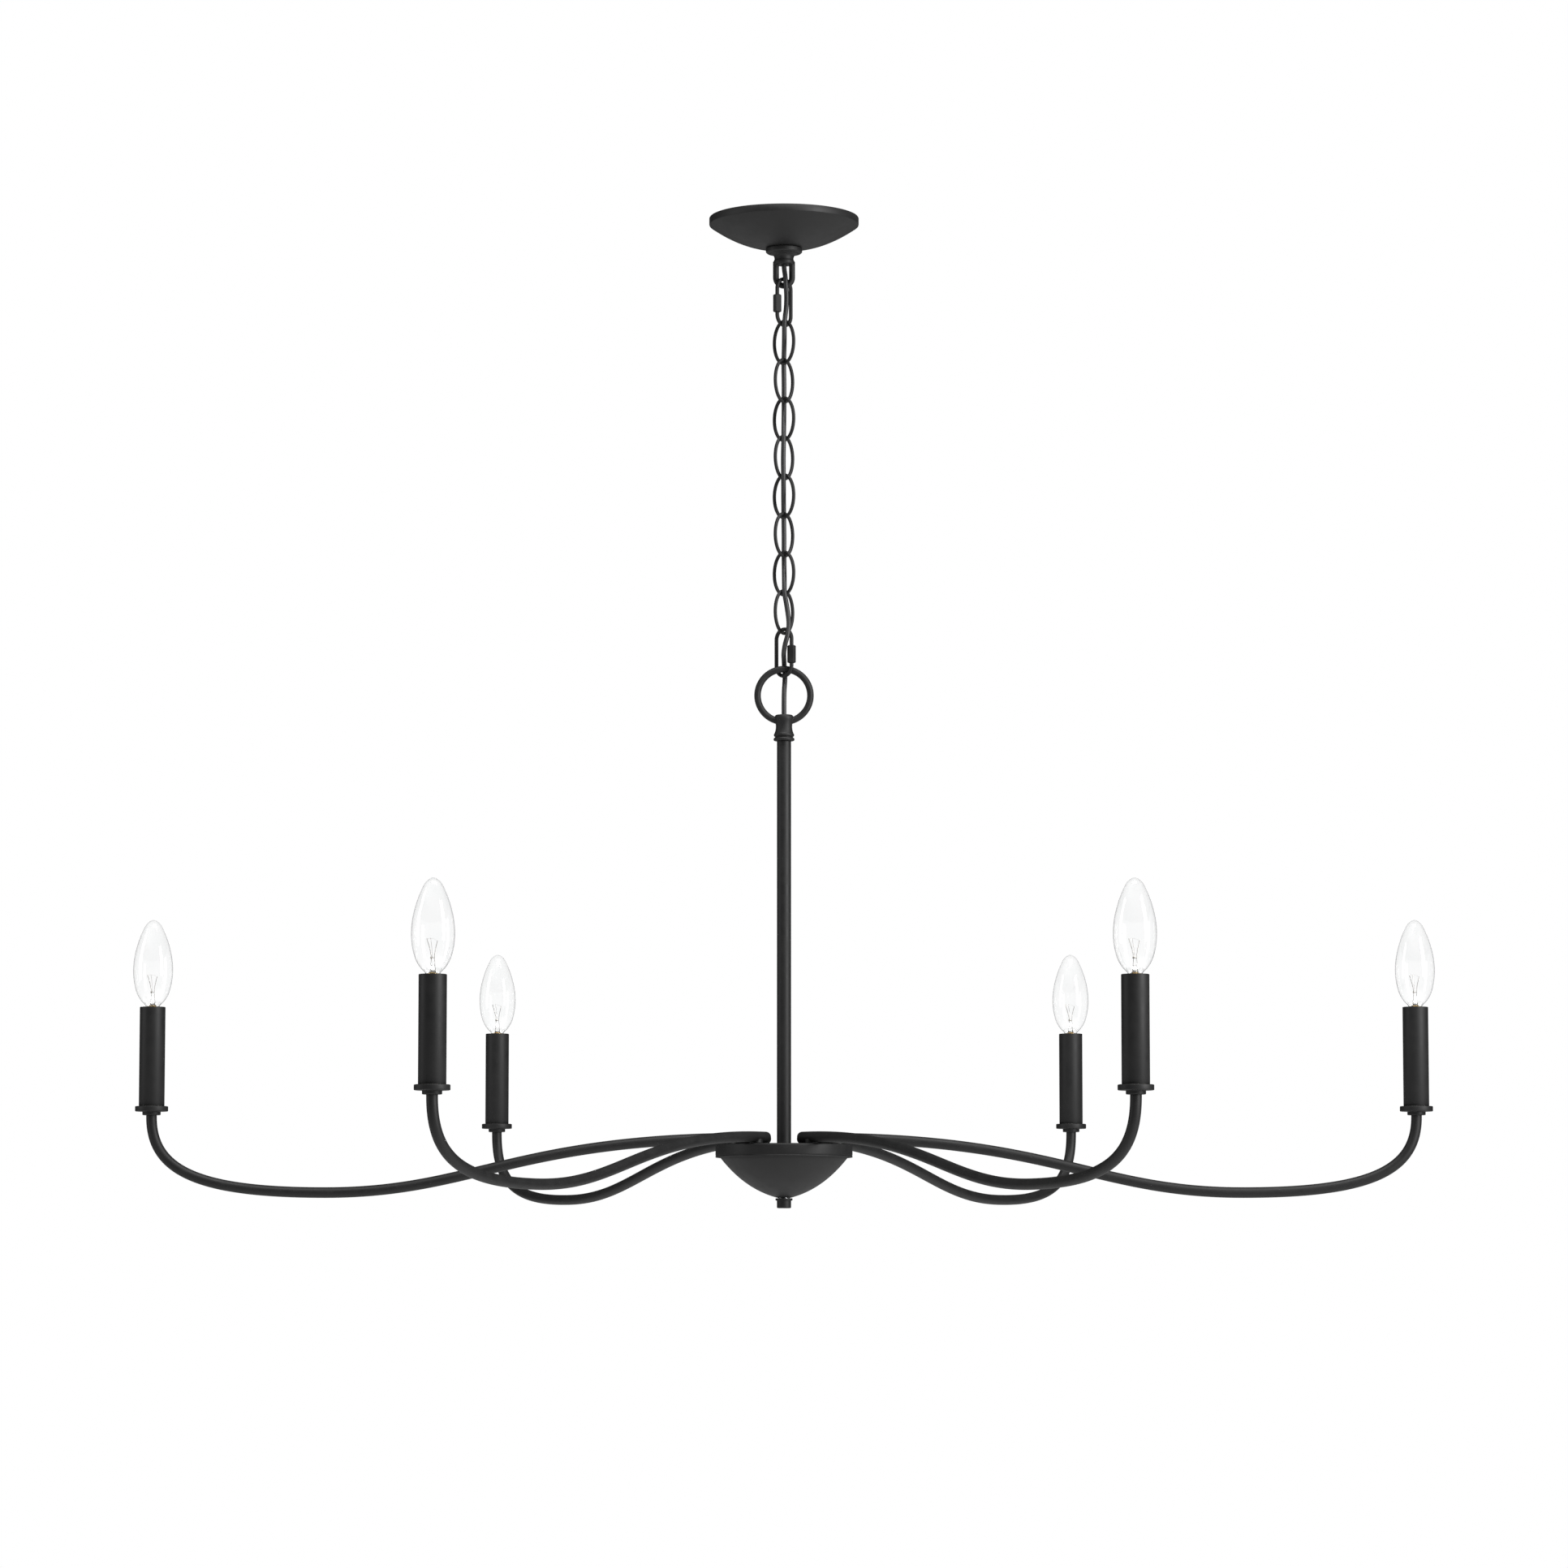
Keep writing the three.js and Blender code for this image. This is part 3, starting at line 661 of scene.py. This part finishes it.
def pan_screw(shank_r, head_r):
    """A pan-head screw, head down under the strap, with a small round recess in its head."""
    seat = STRAP_BOTTOM_Z
    face = seat - 2.35
    recess_z = face + 0.85
    profile = [(0, recess_z), (0.16 * head_r, recess_z), (0.2 * head_r, face + 0.1)]
    profile += bezier((0.45 * head_r, face), (0.95 * head_r, face + 0.15), (head_r, seat - 0.6), count=6)
    profile += [(head_r, seat), (shank_r, seat)]
    profile += threads(shank_r, seat + 0.1, -GAP, pitch=0.7, depth=0.2)
    profile += [(0, -0.2)]
    return lathe(profile, 36, closed=False)


def add_ceiling_fixing():
    finish_node("mounting_strap", ZINC)
    for side, x in (("left", -BOX_SCREW_X), ("right", BOX_SCREW_X)):
        screw = shifted(pan_screw(2, 4), x)
        piece(f"box_screw_head_{side}", screw, ZINC, "fixing", [f"box_screw_{side}"])
    screw = shifted(pan_screw(1.7, 3.4), GROUND_SCREW_X)
    piece("ground_screw_head", screw, GREEN, "fixing", ["ground_screw"])
    add_ceiling_pipe()
    nut = hex_nut(PIPE_NUT_R, BORE_R, STRAP_BOTTOM_Z - PIPE_NUT_HEIGHT, STRAP_BOTTOM_Z)
    piece("ceiling_nut", nut, ZINC, "fixing", ["ceiling_pipe_nut"])


def add_canopy():
    rim_z = CANOPY_RIM_BOTTOM_Z
    belly = (38, CANOPY_BOTTOM_Z + 1.5)
    outside = [(CANOPY_R - 0.25, 0), (CANOPY_R, -0.4)]
    outside += [(CANOPY_R, rim_z + 0.9), (CANOPY_R - 0.15, rim_z + 0.4)]
    outside += bezier((CANOPY_R - 0.7, rim_z), belly, (CANOPY_HOLE_R, CANOPY_BOTTOM_Z), count=26)
    inside = []
    for r, z in outside:
        reach = (r - CANOPY_HOLE_R) / (CANOPY_R - CANOPY_HOLE_R)
        inside.append((r - SHEET * reach, min(z + SHEET, 0)))
    shape = lathe(outside + inside[::-1], 112)
    piece("canopy_bowl", shape, COAT, "canopy", ["canopy"])


def add_collar_ring():
    """The ring that carries the canopy, finely ribbed round its edge for the fingers."""
    ribs = 60
    rib_depth = 0.09
    top, bottom = CANOPY_BOTTOM_Z - GAP, COLLAR_BOTTOM_Z
    profile = [(COLLAR_HOLE_R, top), (COLLAR_R, top), (COLLAR_R, bottom + 1.2)]
    profile += [(COLLAR_R - 1.3, bottom), (COLLAR_HOLE_R, bottom)]
    points, faces = lathe(softened(profile, 0.35), 4 * ribs)
    ribbed = []
    for x, y, z in points:
        r = math.hypot(x, y)
        depth = rib_depth if r > COLLAR_R - 0.05 else 0
        shrink = 1 - depth * (0.5 + 0.5 * math.cos(ribs * math.atan2(y, x))) / r
        ribbed.append((x * shrink, y * shrink, z))
    piece("collar_ring_ribbed", (ribbed, faces), COAT, "canopy", ["collar_ring"])


def add_collar_loop():
    """The neck through the canopy, threaded for the collar ring, with a lip and the U-shaped bail below."""
    thread_r = 12.1
    bead_r = 9.15
    bore_step_z = -24
    bail_root_z = -38.5
    neck = [(BORE_R, LOOP_TOP_Z), (thread_r - 0.4, LOOP_TOP_Z)]
    neck += threads(thread_r, COLLAR_BOTTOM_Z + 4.6, LOOP_TOP_Z - 0.4, pitch=1.3, depth=0.35)[::-1]
    neck += [(thread_r, COLLAR_BOTTOM_Z), (10.8, COLLAR_BOTTOM_Z - 0.8)]
    neck += bezier((10.4, -32.3), (8.4, -33), (8.3, -36.2), count=8)
    neck += bezier((8.5, -37.2), (9.1, -37.6), (bead_r, -39.1), count=4)
    neck += bezier((bead_r, -39.2), (9.1, LOOP_BOTTOM_Z), (7.6, LOOP_BOTTOM_Z), count=4)
    neck += [(CORD_BORE_R, LOOP_BOTTOM_Z), (CORD_BORE_R, bore_step_z), (BORE_R, bore_step_z + 1)]
    bend_z = BAIL_BOTTOM_Z + BAIL_HALF
    angles = np.linspace(math.pi, FULL_TURN, 25)
    bend = [(BAIL_HALF * math.cos(a), 0, bend_z + BAIL_HALF * math.sin(a)) for a in angles]
    leg = np.linspace(bail_root_z, bend_z, 9)[:-1]
    left = [(-BAIL_HALF, 0, z) for z in leg]
    right = [(BAIL_HALF, 0, z) for z in leg[::-1]]
    bail = swept(left + bend + right, BAIL_WIRE_R, sides=24)
    shape = combined(lathe(neck, 72), bail)
    loop = piece("collar_loop_cast", shape, CAST, "fixing", ["collar_loop"])
    cast_together(loop)


# ---- Chain ----
def chain_turn(position):
    return ODD_TURN if position % 2 else ODD_TURN + math.pi / 2


def add_chain_links():
    oval = [(LINK_HALF_WIDTH * math.cos(a), 0, LINK_HALF_LENGTH * math.sin(a)) for a in around(80)]
    link = swept(oval, LINK_WIRE_R, sides=16, closed=True)
    for i in range(1, LINKS + 1):
        z = FIRST_LINK_Z - (i - 1) * LINK_PITCH
        placed = shifted(spun(link, chain_turn(i)), z=z)
        piece(f"oval_link_{i}", placed, COAT, f"chain_link_{i}", [f"chain_link_{i}"])


def quick_link_wire():
    """The wire oval of a quick link. Its gate, on the -X side, is hidden in the nut and threaded above."""
    w = QUICK_HALF_WIDTH
    bend = QUICK_HALF_LENGTH - QUICK_HALF_WIDTH
    gate_low = 1.5 - QUICK_NUT["drop"] - QUICK_NUT["length"] / 2
    gate_high = gate_low + 5.5
    top = [(w * math.cos(a), 0, bend + w * math.sin(a)) for a in np.linspace(math.pi, 0, 33)]
    bottom = [(w * math.cos(a), 0, -bend + w * math.sin(a)) for a in np.linspace(0, -math.pi, 33)]
    up = [(-w, 0, z) for z in np.linspace(gate_high, bend, 61)[:-1]]
    down = [(w, 0, z) for z in np.linspace(bend, -bend, 12)[1:-1]]
    back = [(-w, 0, z) for z in np.linspace(-bend, gate_low, 9)[1:]]
    line = up + top + down + bottom + back
    radii = np.full(len(line), QUICK_WIRE_R)
    threaded_points = 36
    radii[:threaded_points:3] -= 0.11
    return swept(line, radii, sides=20)


def add_quick_links():
    # The nuts are a little slimmer and shorter than the CAD's, so that they clear the cord and the ring.
    middle = -QUICK_NUT["drop"]
    half = QUICK_NUT["length"] / 2 - 0.5
    corner_r = QUICK_NUT["corner"] - 0.2
    nut = hex_nut(corner_r, QUICK_NUT["bore"], middle - half, middle + half, chamfer=0.84)
    for name, position, z, flip in (
        ("quick_link_top", 0, QUICK_TOP_Z, 0),
        ("quick_link_bottom", LINKS + 1, QUICK_LOW_Z, math.pi),
    ):
        turn = chain_turn(position) + flip
        oval = shifted(spun(quick_link_wire(), turn), z=z)
        piece(f"{name}_wire", oval, COAT, name, [name])
        sleeve = shifted(spun(shifted(nut, -QUICK_HALF_WIDTH), turn), z=z)
        piece(f"{name}_sleeve_nut", sleeve, COAT, f"{name}_nut", [f"{name}_nut"])


# ---- Centre ----
def add_ring_loop():
    """The ring and its turned neck: a threaded plug, two beads with a groove between, a waist and a cup."""
    circle = [(RING_R * math.cos(a), 0, RING_Z + RING_R * math.sin(a)) for a in around(120)]
    ring = swept(circle, RING_WIRE_R, sides=28, closed=True)
    base = STEM_TOP_Z
    groove_r = 7.7
    waist_z = -447
    neck = [(CORD_BORE_R, NECK_PLUG_Z), (4.3, NECK_PLUG_Z)]
    neck += threads(PIPE_R, NECK_PLUG_Z + 0.5, base, PIPE_PITCH, PIPE_THREAD_DEPTH)
    neck += [(8.6, base + GAP)]
    neck += bezier((8.5, base + GAP), (9.8, base + 1.6), (8.5, base + 2.9), count=6)
    neck += [(groove_r, base + 3.3), (groove_r, base + 3.8)]
    neck += bezier((8.3, base + 4.1), (9.5, base + 5.3), (8.2, base + 6.9), count=6)
    neck += bezier((7.9, -451.6), (6.3, waist_z), (7.8, -441.5), count=10)
    neck += bezier((8.15, -440), (8.3, NECK_TOP_Z), (6.2, NECK_TOP_Z), count=6)
    neck += [(CORD_BORE_R, NECK_TOP_Z)]
    shape = combined(lathe(neck, 72), ring)
    loop = piece("ring_loop_cast", shape, CAST, "pendant", ["ring_loop"])
    cast_together(loop)


def add_stem():
    low, high = HUB_TOP_Z + GAP, STEM_TOP_Z
    profile = softened([(BORE_R, low), (STEM_R, low), (STEM_R, high), (BORE_R, high)], 0.3)
    piece("stem_tube", lathe(profile, 72), COAT, "pendant", ["centre_stem"])


def add_hub():
    """The cap with its turned-down, rolled band, and the nuts under it."""
    underside, lip_z = HUB_UNDERSIDE_Z, HUB_BAND_BOTTOM_Z
    lip_r = HUB_R + 0.05
    profile = [(BORE_R, underside), (HUB_R - SHEET, underside), (HUB_R - SHEET, lip_z)]
    profile += [(HUB_R - 0.3, lip_z), (lip_r, lip_z + 0.35), (lip_r, lip_z + 0.9)]
    profile += [(HUB_R - 0.3, lip_z + 1.3), (HUB_R - 0.1, lip_z + 1.7), (HUB_R, lip_z + 2.4)]
    profile += bezier((HUB_R, HUB_TOP_Z - 2), (HUB_R, HUB_TOP_Z), (HUB_R - 2, HUB_TOP_Z), count=6)
    profile += [(BORE_R, HUB_TOP_Z)]
    piece("hub_cap", lathe(profile, 120), COAT, "pendant", ["hub_plate"])

    half_width = 4
    low, high = underside - 1.5, underside - GAP
    inner, outer = STUD_CIRCLE_R - half_width, STUD_CIRCLE_R + half_width
    washer = lathe(softened([(inner, low), (outer, low), (outer, high), (inner, high)], 0.2), 96)
    nut = hex_nut(5.4, 3.3, low - 3, low)
    nuts = [spun(shifted(nut, STUD_CIRCLE_R), turn) for turn in around(ARMS)]
    piece("arm_nuts", combined(washer, *nuts), ZINC, "pendant", ["arm_nut_ring"])

    finish_node("centre_pipe", ZINC)
    nut = hex_nut(PIPE_NUT_R, BORE_R, high - PIPE_NUT_HEIGHT, high)
    piece("centre_nut", nut, ZINC, "pendant", ["centre_pipe_nut"])


def add_bowl():
    rim_top = HUB_TOP_Z - 3.5
    rim_r = BOWL_RIM_R + 2  # hidden inside the hub's band
    belly = (33.2, -846.7)
    outside = [(rim_r, rim_top), (rim_r, rim_top - 1.5)]
    outside += bezier((BOWL_RIM_R, HUB_BAND_BOTTOM_Z - 0.6), belly, (BORE_R + 0.2, BOWL_BOTTOM_Z), count=26)
    inside = []
    for r, z in outside:
        depth = (rim_top - z) / (rim_top - BOWL_BOTTOM_Z)
        inside.append((r - SHEET * (1 - depth), z + SHEET * depth))
    piece("bowl_shell", lathe(outside + inside[::-1], 112), COAT, "bowl", ["hub_bowl"])


def add_finial():
    """The cap nut under the bowl, with a flange at its top and a blind bore."""
    top, bottom = BOWL_BOTTOM_Z - GAP, FINIAL_BOTTOM_Z
    r, flange_r = STEM_R, 7.35
    bore_end_z = bottom + 4.2
    profile = [(0, bottom)]
    profile += bezier((r - 1.2, bottom), (r, bottom), (r, bottom + 1.1), count=5)
    profile += [(r, top - 2.1)]
    profile += bezier((7, top - 1.9), (flange_r, top - 1.9), (flange_r, top - 1.3), count=4)
    profile += [(flange_r - 0.05, top - 0.2), (flange_r - 0.25, top), (BORE_R, top)]
    profile += [(BORE_R, bore_end_z), (0, bore_end_z)]
    piece("finial_cap", lathe(profile, 64, closed=False), COAT, "bowl", ["finial"])


# ---- Arms and candles, made along +X and turned into place ----
def arm_line():
    """The arm's centre line as (x, z): level at the hub, down to its low point and up under the candle."""
    (inner_x, inner_z), (low_x, low_z) = ARM_INNER, ARM_LOW
    end = (CANDLE_RADIUS, CUP_TOP_Z - 8.6)
    level_out, level_in, level_on, upright = 205, 128, 110, 47  # reaches of the curves' controls
    fall = bezier(ARM_INNER, (inner_x + level_out, inner_z), (low_x - level_in, low_z), ARM_LOW, count=56)
    rise = bezier(ARM_LOW, (low_x + level_on, low_z), (end[0], end[1] - upright), end, count=44)
    tip = [(CANDLE_RADIUS, CUP_TOP_Z + 5)]
    return fall + rise[1:] + tip


def arm_shape():
    """The bent tube, with its inner end closed and rounded, and the spacer and stud it stands on."""
    inner_x, inner_z = ARM_INNER
    angles = np.linspace(math.pi / 2, 0, 7)
    flat = ARM_R - ARM_END_R
    line = [(inner_x + ARM_END_R * (1 - math.sin(a)), inner_z) for a in angles]
    radii = [flat + ARM_END_R * math.cos(a) for a in angles]
    rest = [p for p in arm_line() if p[0] > inner_x + ARM_END_R + 1]
    line += rest
    radii += [ARM_R] * len(rest)
    tube = swept([(x, 0, z) for x, z in line], radii, sides=28)

    spacer_r, stud_r = 5, 3
    low, high = HUB_TOP_Z + GAP, inner_z - 2
    spacer = [(0, low), (spacer_r - 0.4, low), (spacer_r, low + 0.4), (spacer_r, high), (0, high)]
    stud_bottom = HUB_TOP_Z - 7
    stud = [(0, stud_bottom), (stud_r - 0.4, stud_bottom)]
    stud += threads(stud_r, stud_bottom + 0.4, HUB_TOP_Z + 0.4, pitch=0.8, depth=0.22)
    stud += [(0, HUB_TOP_Z + 1)]
    foot = combined(lathe(spacer, 40, closed=False), lathe(stud, 32, closed=False))
    return combined(tube, shifted(foot, STUD_CIRCLE_R))


def drip_cup_shape():
    """A shallow cup on a washer, made with its top at height 0."""
    washer_r, cup_r = 7.85, 14.2
    bottom, step = -7.7, -4.5
    washer = [(BORE_R, bottom), (washer_r, bottom), (washer_r, step)]
    cup = [(cup_r, step), (cup_r, 0), (BORE_R, 0)]
    return lathe(softened(washer + cup, 0.75), 72)


def sleeve_shape():
    inner_r = SLEEVE_R - SLEEVE_WALL
    profile = [(inner_r, GAP), (SLEEVE_R - 0.1, GAP), (SLEEVE_R, 0.5)]
    shoulder = (SLEEVE_R, SLEEVE_TOP - 0.8)
    profile += bezier(shoulder, (SLEEVE_R, SLEEVE_TOP), (SLEEVE_R - 0.5, SLEEVE_TOP), count=5)
    profile += [(inner_r, SLEEVE_TOP - 0.25)]
    return lathe(profile, 64)


def socket_shape():
    top = SLEEVE_TOP - 2
    floor = BULB_SEAT - GAP
    pipe_end = 5.6
    profile = [(BORE_R, GAP), (SOCKET_R, GAP), (SOCKET_R, top - 0.5), (SOCKET_R - 0.5, top)]
    profile += [(SOCKET_BORE_R + 0.3, top), (SOCKET_BORE_R, top - 0.4)]
    profile += threads(SOCKET_BORE_R, BULB_SEAT + 2, top - 1, LAMP_PITCH, -0.25)[::-1]
    profile += [(SOCKET_BORE_R, floor), (0, floor), (0, pipe_end), (BORE_R, pipe_end)]
    return lathe(profile, 48)


# The profile of the outside of the bulb's glass, with heights above the drip cup.
GLASS_OUTLINE = [
    (5.7, GLASS_BOTTOM),
    (6.1, 86.4),
    (9.7, 90.3),
    (13.4, 96.5),
    (16.0, 105.9),
    (17.0, 116.5),
    (16.1, 128.0),
    (13.5, 139.2),
    (9.5, 150.0),
    (5.2, 157.6),
    (0.0, BULB_TIP),
]
GLASS_WALL = 0.55


def glass_shape():
    past_tip = [(-r, z) for r, z in GLASS_OUTLINE[-2:-4:-1]]
    line = smooth_line([(r, 0, z) for r, z in GLASS_OUTLINE + past_tip], 1.1)
    outside = [(max(p[0], 0), p[2]) for p in line]
    tip = next(i for i, (r, _) in enumerate(outside) if r < 0.05)
    outside = outside[:tip] + [(0, BULB_TIP)]
    ahead = np.gradient(np.array(outside), axis=0)
    ahead /= np.linalg.norm(ahead, axis=1)[:, None]
    inside = []
    for (r, z), (dr, dz) in zip(outside, ahead):
        inside.append((max(r - GLASS_WALL * dz, 0), z + GLASS_WALL * dr))
    inside[-1] = (0, BULB_TIP - GLASS_WALL)
    return lathe(outside + inside[::-1], 72)


def bulb_base_shape():
    """The screw shell, from the solder contact up to the rim that holds the glass."""
    r, rim = BULB_BASE_R, SLEEVE_TOP
    cup_r, cup_z = 5.2, rim - 1
    profile = [(0, BULB_SEAT + 1.6), (4.2, BULB_SEAT + 3)]
    profile += threads(r, BULB_SEAT + 4, rim - 4, LAMP_PITCH, 0.5)
    profile += [(r, rim - 3.4), (r + 0.1, rim + 0.3), (r - 0.1, rim + 0.5)]
    profile += [(cup_r, rim + 0.1), (cup_r, cup_z), (0, cup_z)]
    return lathe(profile, 48, closed=False)


def bulb_contact_shape():
    rises = [(0, 0), (1.4, 0.15), (2, 0.9), (3.6, 1.8), (4.2, 3.1), (0, 3.2)]
    return lathe([(r, BULB_SEAT + rise) for r, rise in rises], 40, closed=False)


def glass_mount_shape():
    """The glass stem in the bulb's neck: a flared tube pressed flat at its top."""
    flare = [(0, GLASS_BOTTOM), (4.1, GLASS_BOTTOM), (3.3, 86), (2.2, 89)]
    tube = [(1.7, 93), (1.6, 96), (1.2, 98), (0, 98.6)]
    points, faces = lathe(softened(flare + tube, 0.8, closed=False), 32, closed=False)
    press_from, press_over, press = 90, 5, 0.45
    pressed = []
    for x, y, z in points:
        flat = 1 - press * min(max((z - press_from) / press_over, 0), 1)
        pressed.append((x, y * flat, z))
    return pressed, faces


def lead_wires_shape():
    """Two leads in a V with a support between them, as in a small candle bulb."""
    root, pinch = 85, 97.5
    left = [(-1.6, 0, root), (-1.7, 0, 92), (-1.2, 0, pinch), (-2.4, 0.2, 105), (-4.8, 0.3, 113)]
    right = [(1.8, 0, root), (1.5, 0, 92), (1.2, 0, pinch), (1.8, -0.2, 104), (3.5, -0.3, 111.5)]
    support = [(-0.3, 0, pinch), (-0.8, 0.8, 105), (-2.0, 1.6, 113.5)]
    bead = lathe([(0, -1.1), (0.55, -0.8), (0.75, 0), (0.55, 0.8), (0, 1.1)], 20, closed=False)
    wires = [
        swept(smooth_line(left, 1), 0.23, sides=10),
        swept(smooth_line(right, 1), 0.2, sides=10),
        swept(smooth_line(support, 1), 0.12, sides=8),
    ]
    return combined(*wires, shifted(bead, -1.3, 0, 98.2))


def filament_shape():
    """A fine coiled filament from one lead over the support to the other."""
    coil_r, turn_step = 0.16, 0.9
    ends = [(-4.8, 0.3, 112.8), (-2.0, 1.6, 113.3), (0.8, 0.6, 112.6), (3.5, -0.3, 111.3)]
    coil = []
    for k, (x, y, z) in enumerate(smooth_line(ends, 0.12)):
        angle = k * turn_step
        coil.append((x, y + coil_r * math.cos(angle), z + coil_r * math.sin(angle)))
    return swept(coil, 0.04, sides=5)


def arm_turn(number):
    return (number - 1) * FULL_TURN / ARMS


def add_candle_piece(name, number, shape, material, body, node=None):
    turn = arm_turn(number)
    placed = spun(shifted(shape, CANDLE_RADIUS, 0, CUP_TOP_Z), turn)
    nodes = [f"{node}_{number}"] if node else []
    piece(f"{name}_{number}", placed, material, body, nodes)


def add_arms():
    arm = arm_shape()
    for i in range(1, ARMS + 1):
        piece(f"bent_arm_{i}", spun(arm, arm_turn(i)), COAT, "pendant", [f"arm_{i}"])
        add_candle_piece("cup", i, drip_cup_shape(), COAT, "pendant", "drip_cup")
        add_candle_piece("sleeve", i, sleeve_shape(), COAT, "pendant", "candle_sleeve")
        add_candle_piece("lamp_socket", i, socket_shape(), PLASTIC, "pendant", "socket")


def add_bulbs():
    parts = (
        ("bulb_glass", glass_shape(), GLASS, "clear_glass", "bulb"),
        ("bulb_mount", glass_mount_shape(), GLASS, "clear_glass", None),
        ("bulb_base", bulb_base_shape(), BRASS, None, None),
        ("bulb_contact", bulb_contact_shape(), INSULATOR, None, None),
        ("bulb_leads", lead_wires_shape(), NICKEL, None, None),
        ("bulb_filament", filament_shape(), NICKEL, None, None),
    )
    for i in range(1, ARMS + 1):
        # Every bulb is turned back by its arm's angle, so that all the leads lie along X.
        for name, shape, material, slot, node in parts:
            add_candle_piece(name, i, spun(shape, -arm_turn(i)), material, f"bulb_{i}", node)


# ---- Studio ----
ROOM_LIGHT = 0.55  # strength of the white room as a light
ROOM_MIRRORED = 0.05  # and as seen in a gloss
FLOOR_Z = -2.6  # metres
FLOOR_R = 10000  # millimetres
FLOOR_DEPTH = 20
MIDDLE = (0, 0, -0.6)  # what the lamps point at, in metres
LAMPS = (  # name, place in metres, size in metres, power in watts
    ("key", (2.6, -1.9, 0.2), (0.9, 2.6), 145),
    ("fill", (-3.0, -0.6, 0.1), (0.9, 2.6), 26),
    ("top", (0.2, -0.9, 2.0), (2.0, 1.2), 85),
)


def area_light(name, place, size, power):
    data = bpy.data.lights.new(name, "AREA")
    data.shape = "RECTANGLE"
    data.size, data.size_y = size
    data.energy = power
    light = bpy.data.objects.new(name, data)
    light.location = place
    light.rotation_euler = (Vector(MIDDLE) - Vector(place)).to_track_quat("-Z", "Y").to_euler()
    light.visible_camera = False
    bpy.context.scene.collection.objects.link(light)


def add_studio():
    scene = bpy.context.scene
    scene.view_settings.view_transform = "Standard"
    world = bpy.data.worlds.new("studio")
    scene.world = world
    world.use_nodes = True
    nodes, links = world.node_tree.nodes, world.node_tree.links
    path = nodes.new("ShaderNodeLightPath")
    # The room is white to look at and through glass, softer as a light, and dim where black paint mirrors
    # it, so that only the lamps leave soft strips.
    seen = nodes.new("ShaderNodeMath")
    seen.operation = "MAXIMUM"
    links.new(path.outputs["Is Camera Ray"], seen.inputs[0])
    links.new(path.outputs["Is Transmission Ray"], seen.inputs[1])
    lighting = nodes.new("ShaderNodeMath")
    lighting.operation = "MULTIPLY_ADD"
    lighting.inputs[1].default_value = ROOM_LIGHT
    lighting.inputs[2].default_value = ROOM_MIRRORED
    links.new(path.outputs["Is Diffuse Ray"], lighting.inputs[0])
    strength = nodes.new("ShaderNodeMath")
    strength.operation = "MAXIMUM"
    links.new(seen.outputs[0], strength.inputs[0])
    links.new(lighting.outputs[0], strength.inputs[1])
    links.new(strength.outputs[0], nodes["Background"].inputs["Strength"])
    nodes["Background"].inputs["Color"].default_value = (1, 1, 1, 1)

    for lamp in LAMPS:
        area_light(*lamp)

    disc = [(0, 0), (FLOOR_R, 0), (FLOOR_R, -FLOOR_DEPTH), (0, -FLOOR_DEPTH)]
    floor = piece("floor", lathe(disc, 96, closed=False), floor_material())
    floor.location.z = FLOOR_Z


def floor_material():
    return surface(
        "pale_floor",
        colours=((0.78, 0.78, 0.78), (0.82, 0.82, 0.82)),
        roughness=(0.7, 0.8),
        grain=(40, 2),
        relief=(0.05, 0.3),
    )


add_ceiling_fixing()
add_canopy()
add_collar_ring()
add_collar_loop()
add_chain_links()
add_quick_links()
add_ring_loop()
add_stem()
add_hub()
add_bowl()
add_finial()
add_arms()
add_bulbs()
add_studio()
